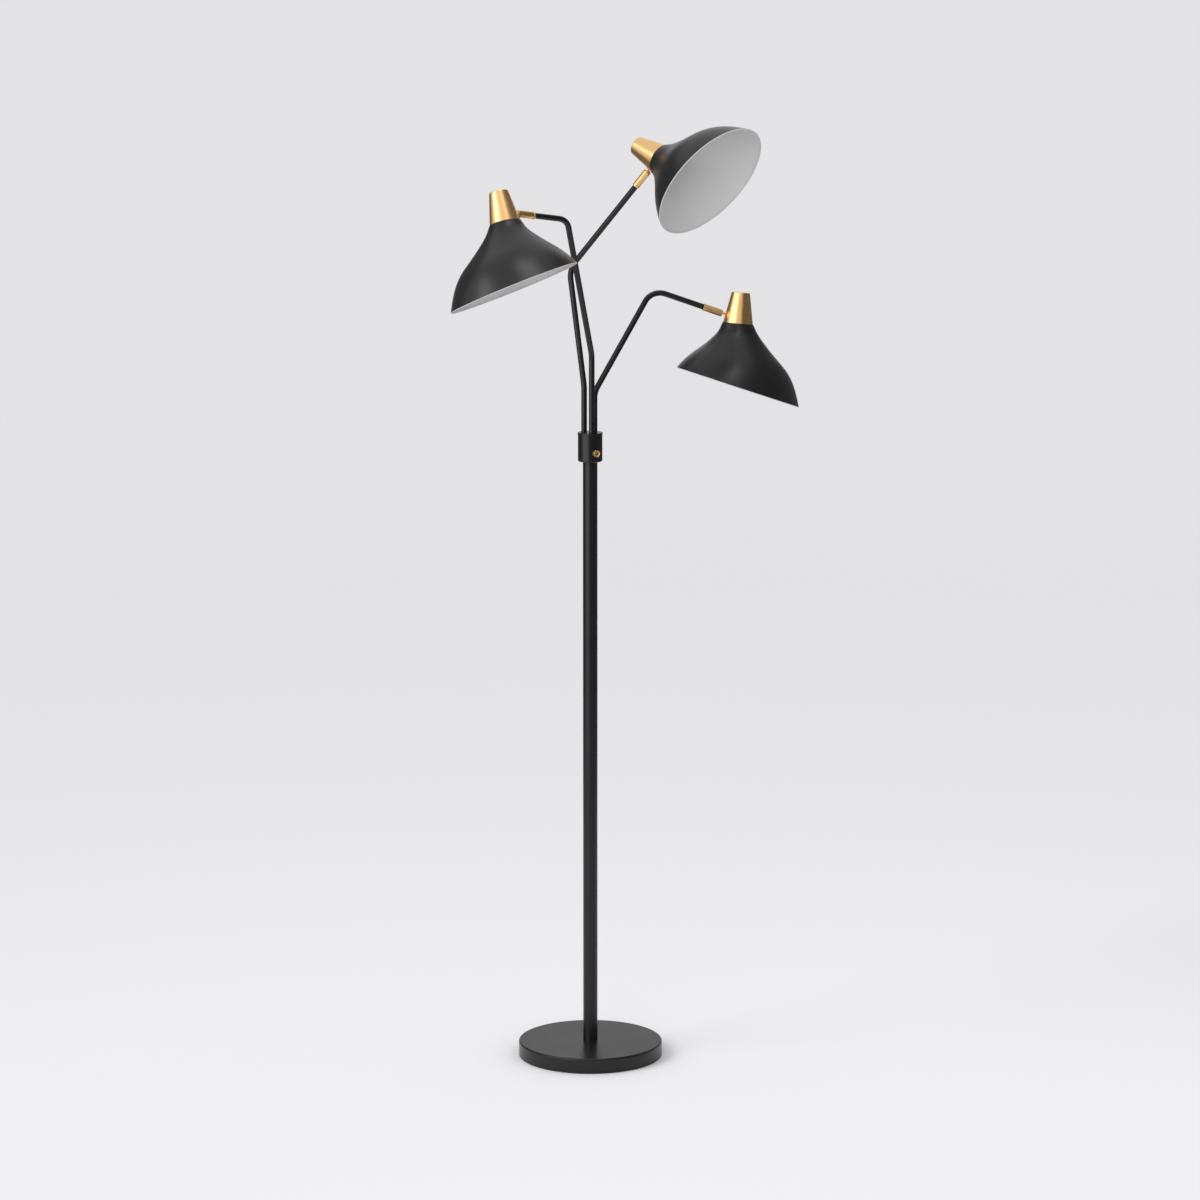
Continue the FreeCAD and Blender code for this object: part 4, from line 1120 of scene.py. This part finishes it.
# %% [markdown]
# ## Studio
# The floor is a very large pale disc.  The camera looks down, so it never sees the horizon and
# the floor is the whole background, from every side.  Its grey is a painted pool of light:
# nearly white near the lamp, falling off to a light grey far away.  Seen from below it is
# clear, so that the lamp's underside can be looked at too.

# %% Floor
FLOOR_RADIUS = 120.0            # metres
LIGHT_POOL_SHIFT = -1.2              # centre of the painted pool of light, between lamp and camera
LIGHT_POOL_REACH = 40.0               # metres at which the last tone would be reached
# painted pool of light: the floor's grey by distance from the lamp, brightest near it
FLOOR_LIGHT_POOL_TONES = ((0.0, 0.80), (0.04, 0.775), (0.06, 0.74), (0.10, 0.70), (0.16, 0.68), (0.6, 0.69))


def floor_material():
    """Matte paper with a painted pool of light: its grey fades with the distance from the lamp;
    clear from below.
    """
    material = bpy.data.materials.new("studio_paper")
    material.use_nodes = True
    tree = material.node_tree
    tree.nodes.remove(tree.nodes["Principled BSDF"])
    place = add_node(tree, "ShaderNodeTexCoord")
    distance = add_node(tree, "ShaderNodeVectorMath", {0: (place, "Object")}, operation="LENGTH")
    share = add_node(tree, "ShaderNodeMapRange", {
        "Value": (distance, "Value"), "From Min": 0.0, "From Max": LIGHT_POOL_REACH})
    tone = add_node(tree, "ShaderNodeValToRGB", {"Fac": (share, "Result")})
    stops = tone.color_ramp.elements
    while len(stops) < len(FLOOR_LIGHT_POOL_TONES):
        stops.new(0.5)
    for stop, (position, level) in zip(stops, FLOOR_LIGHT_POOL_TONES):
        stop.position = position
        stop.color = (level, level * 0.995, level * 1.003, 1.0)
    paper = add_node(tree, "ShaderNodeBsdfDiffuse", {"Color": (tone, "Color")})
    facing = add_node(tree, "ShaderNodeNewGeometry")
    clear = add_node(tree, "ShaderNodeBsdfTransparent")
    either = add_node(tree, "ShaderNodeMixShader", {
        0: (facing, "Backfacing"), 1: (paper, "BSDF"), 2: (clear, "BSDF")})
    feed(tree.nodes["Material Output"], "Surface", (either, "Shader"))
    return material


built = bmesh.new()
bmesh.ops.create_circle(built, cap_ends=True, segments=96, radius=FLOOR_RADIUS)
floor = put_in_scene("studio_floor", mesh_from("studio_floor", built))
floor.data.materials.append(floor_material())
# moving the floor moves the centre of its painted pool of light
floor.location.y = LIGHT_POOL_SHIFT
print("floor is", 2 * FLOOR_RADIUS, "m across")

# %% [markdown]
# The light is plain and soft.  The sky is an even pale grey that fills every shadow.  A wide
# sun from the left gives the short soft shadow beside the base, and a weak low one from the
# front reaches into the open shade and lights its far wall.

# %% World and suns
SKY = (0.85, 0.845, 0.86, 1.0)
SUNS = {            # name: azimuth, height and size in degrees, strength
    "key_light": (-64.0, 40.0, 30.0, 1.15),
    "fill_light": (-12.0, 9.0, 30.0, 0.8),
}

world = bpy.data.worlds.new("studio_sky")
world.use_nodes = True
world.node_tree.nodes["Background"].inputs["Color"].default_value = SKY
bpy.context.scene.world = world


def around(azimuth, distance, height):
    """A place round the lamp; azimuth counts from the camera's direction to the right."""
    turn = math.radians(azimuth)
    return Vector((distance * math.sin(turn), -distance * math.cos(turn), height))


def point_from(light, direction):
    """Turn a light so that it shines from this direction."""
    light.rotation_euler = direction.to_track_quat("Z", "Y").to_euler()


for name, (azimuth, height, size, strength) in SUNS.items():
    sun = put_in_scene(name, bpy.data.lights.new(name, "SUN"))
    sun.data.energy = strength
    sun.data.angle = math.radians(size)
    sun.visible_glossy = False
    point_from(sun, around(azimuth, 1.0, math.tan(math.radians(height))))
    print(name, "shines from", height, "degrees above the floor")

# %% [markdown]
# Shiny surfaces don't show a sun well, they show shapes.  So the softboxes are there for the
# reflections alone.  The tall one at the front left is taller than the lamp, because a vertical
# black tube mirrors a vertical strip: only a tall light draws a line down the whole pole.  A
# small one hangs nearly overhead and one on the left; they put soft patches on the shades.

# %% Softboxes
SOFTBOXES = {       # name: azimuth, distance, height, width, height of the cloth, its glow
    "tall_softbox": (-45.0, 4.0, 2.3, 4.0, 4.0, 1.9),
    "high_softbox": (12.0, 0.9, 4.4, 1.3, 1.3, 3.5),
    "left_softbox": (-74.0, 3.0, 3.4, 1.1, 1.1, 3.5),
}
SHADES_HEIGHT = 1.6             # metres; the overhead softbox points at the shades
OVERHEAD = 4.0                  # a softbox above this height is overhead

for name, (azimuth, distance, height, width, tall, glow) in SOFTBOXES.items():
    softbox = put_in_scene(name, bpy.data.lights.new(name, "AREA"))
    softbox.data.shape = "RECTANGLE"
    softbox.data.size, softbox.data.size_y = width, tall
    softbox.data.energy = glow * math.pi * width * tall
    softbox.location = around(azimuth, distance, height)
    aim = Vector((0.0, 0.0, SHADES_HEIGHT if height > OVERHEAD else height))
    point_from(softbox, softbox.location - aim)
    softbox.visible_camera = False
    softbox.visible_diffuse = False
    print(name, "gives", round(softbox.data.energy), "watts")

# %% [markdown]
# Black paint and brass are only as lively as what they mirror, so curved flags stand round the
# lamp, as a photographer would place them.  Low ones keep the bright floor out of the pole,
# high ones draw the dark sides of the caps, and a grey card stands behind.  Only shiny
# surfaces see them; the camera and the soft light don't.

# %% Flags
FLAG_RADIUS = 2.4                       # metres
FLAG_STEPS = 24
FLAGS = {                               # name: azimuths from and to, foot, top and grey
    "low_flag_right": (-10.0, 155.0, 0.0, 1.9, 0.12),
    "low_flag_left": (-155.0, -82.0, 0.0, 1.5, 0.12),
    "rear_card": (155.0, 205.0, 0.0, 1.7, 0.55),
    "high_flag_right": (34.0, 150.0, 1.9, 5.0, 0.12),
    "high_flag_left": (-165.0, -104.0, 1.5, 3.2, 0.12),
}


def hang_flag(name, start, end, foot, top, level):
    """A curved sheet round the lamp, dark or grey, that only reflections see."""
    built = bmesh.new()
    columns = []
    for step in range(FLAG_STEPS + 1):
        azimuth = start + (end - start) * step / FLAG_STEPS
        columns.append([built.verts.new(around(azimuth, FLAG_RADIUS, height))
                        for height in (foot, top)])
    for one, other in zip(columns, columns[1:]):
        built.faces.new((one[0], other[0], other[1], one[1]))
    flag = put_in_scene(name, mesh_from(name, built))
    cloth, _, _ = start_material(name + "_cloth", Base_Color=grey(level), Roughness=1.0)
    flag.data.materials.append(cloth)
    flag.visible_camera = False
    flag.visible_diffuse = False
    flag.visible_shadow = False


for name, places in FLAGS.items():
    hang_flag(name, *places)
print(len(FLAGS), "flags")

# %% [markdown]
# ## Picture settings
# The Standard view transform shows a colour as it is written.

bpy.context.scene.view_settings.view_transform = "Standard"

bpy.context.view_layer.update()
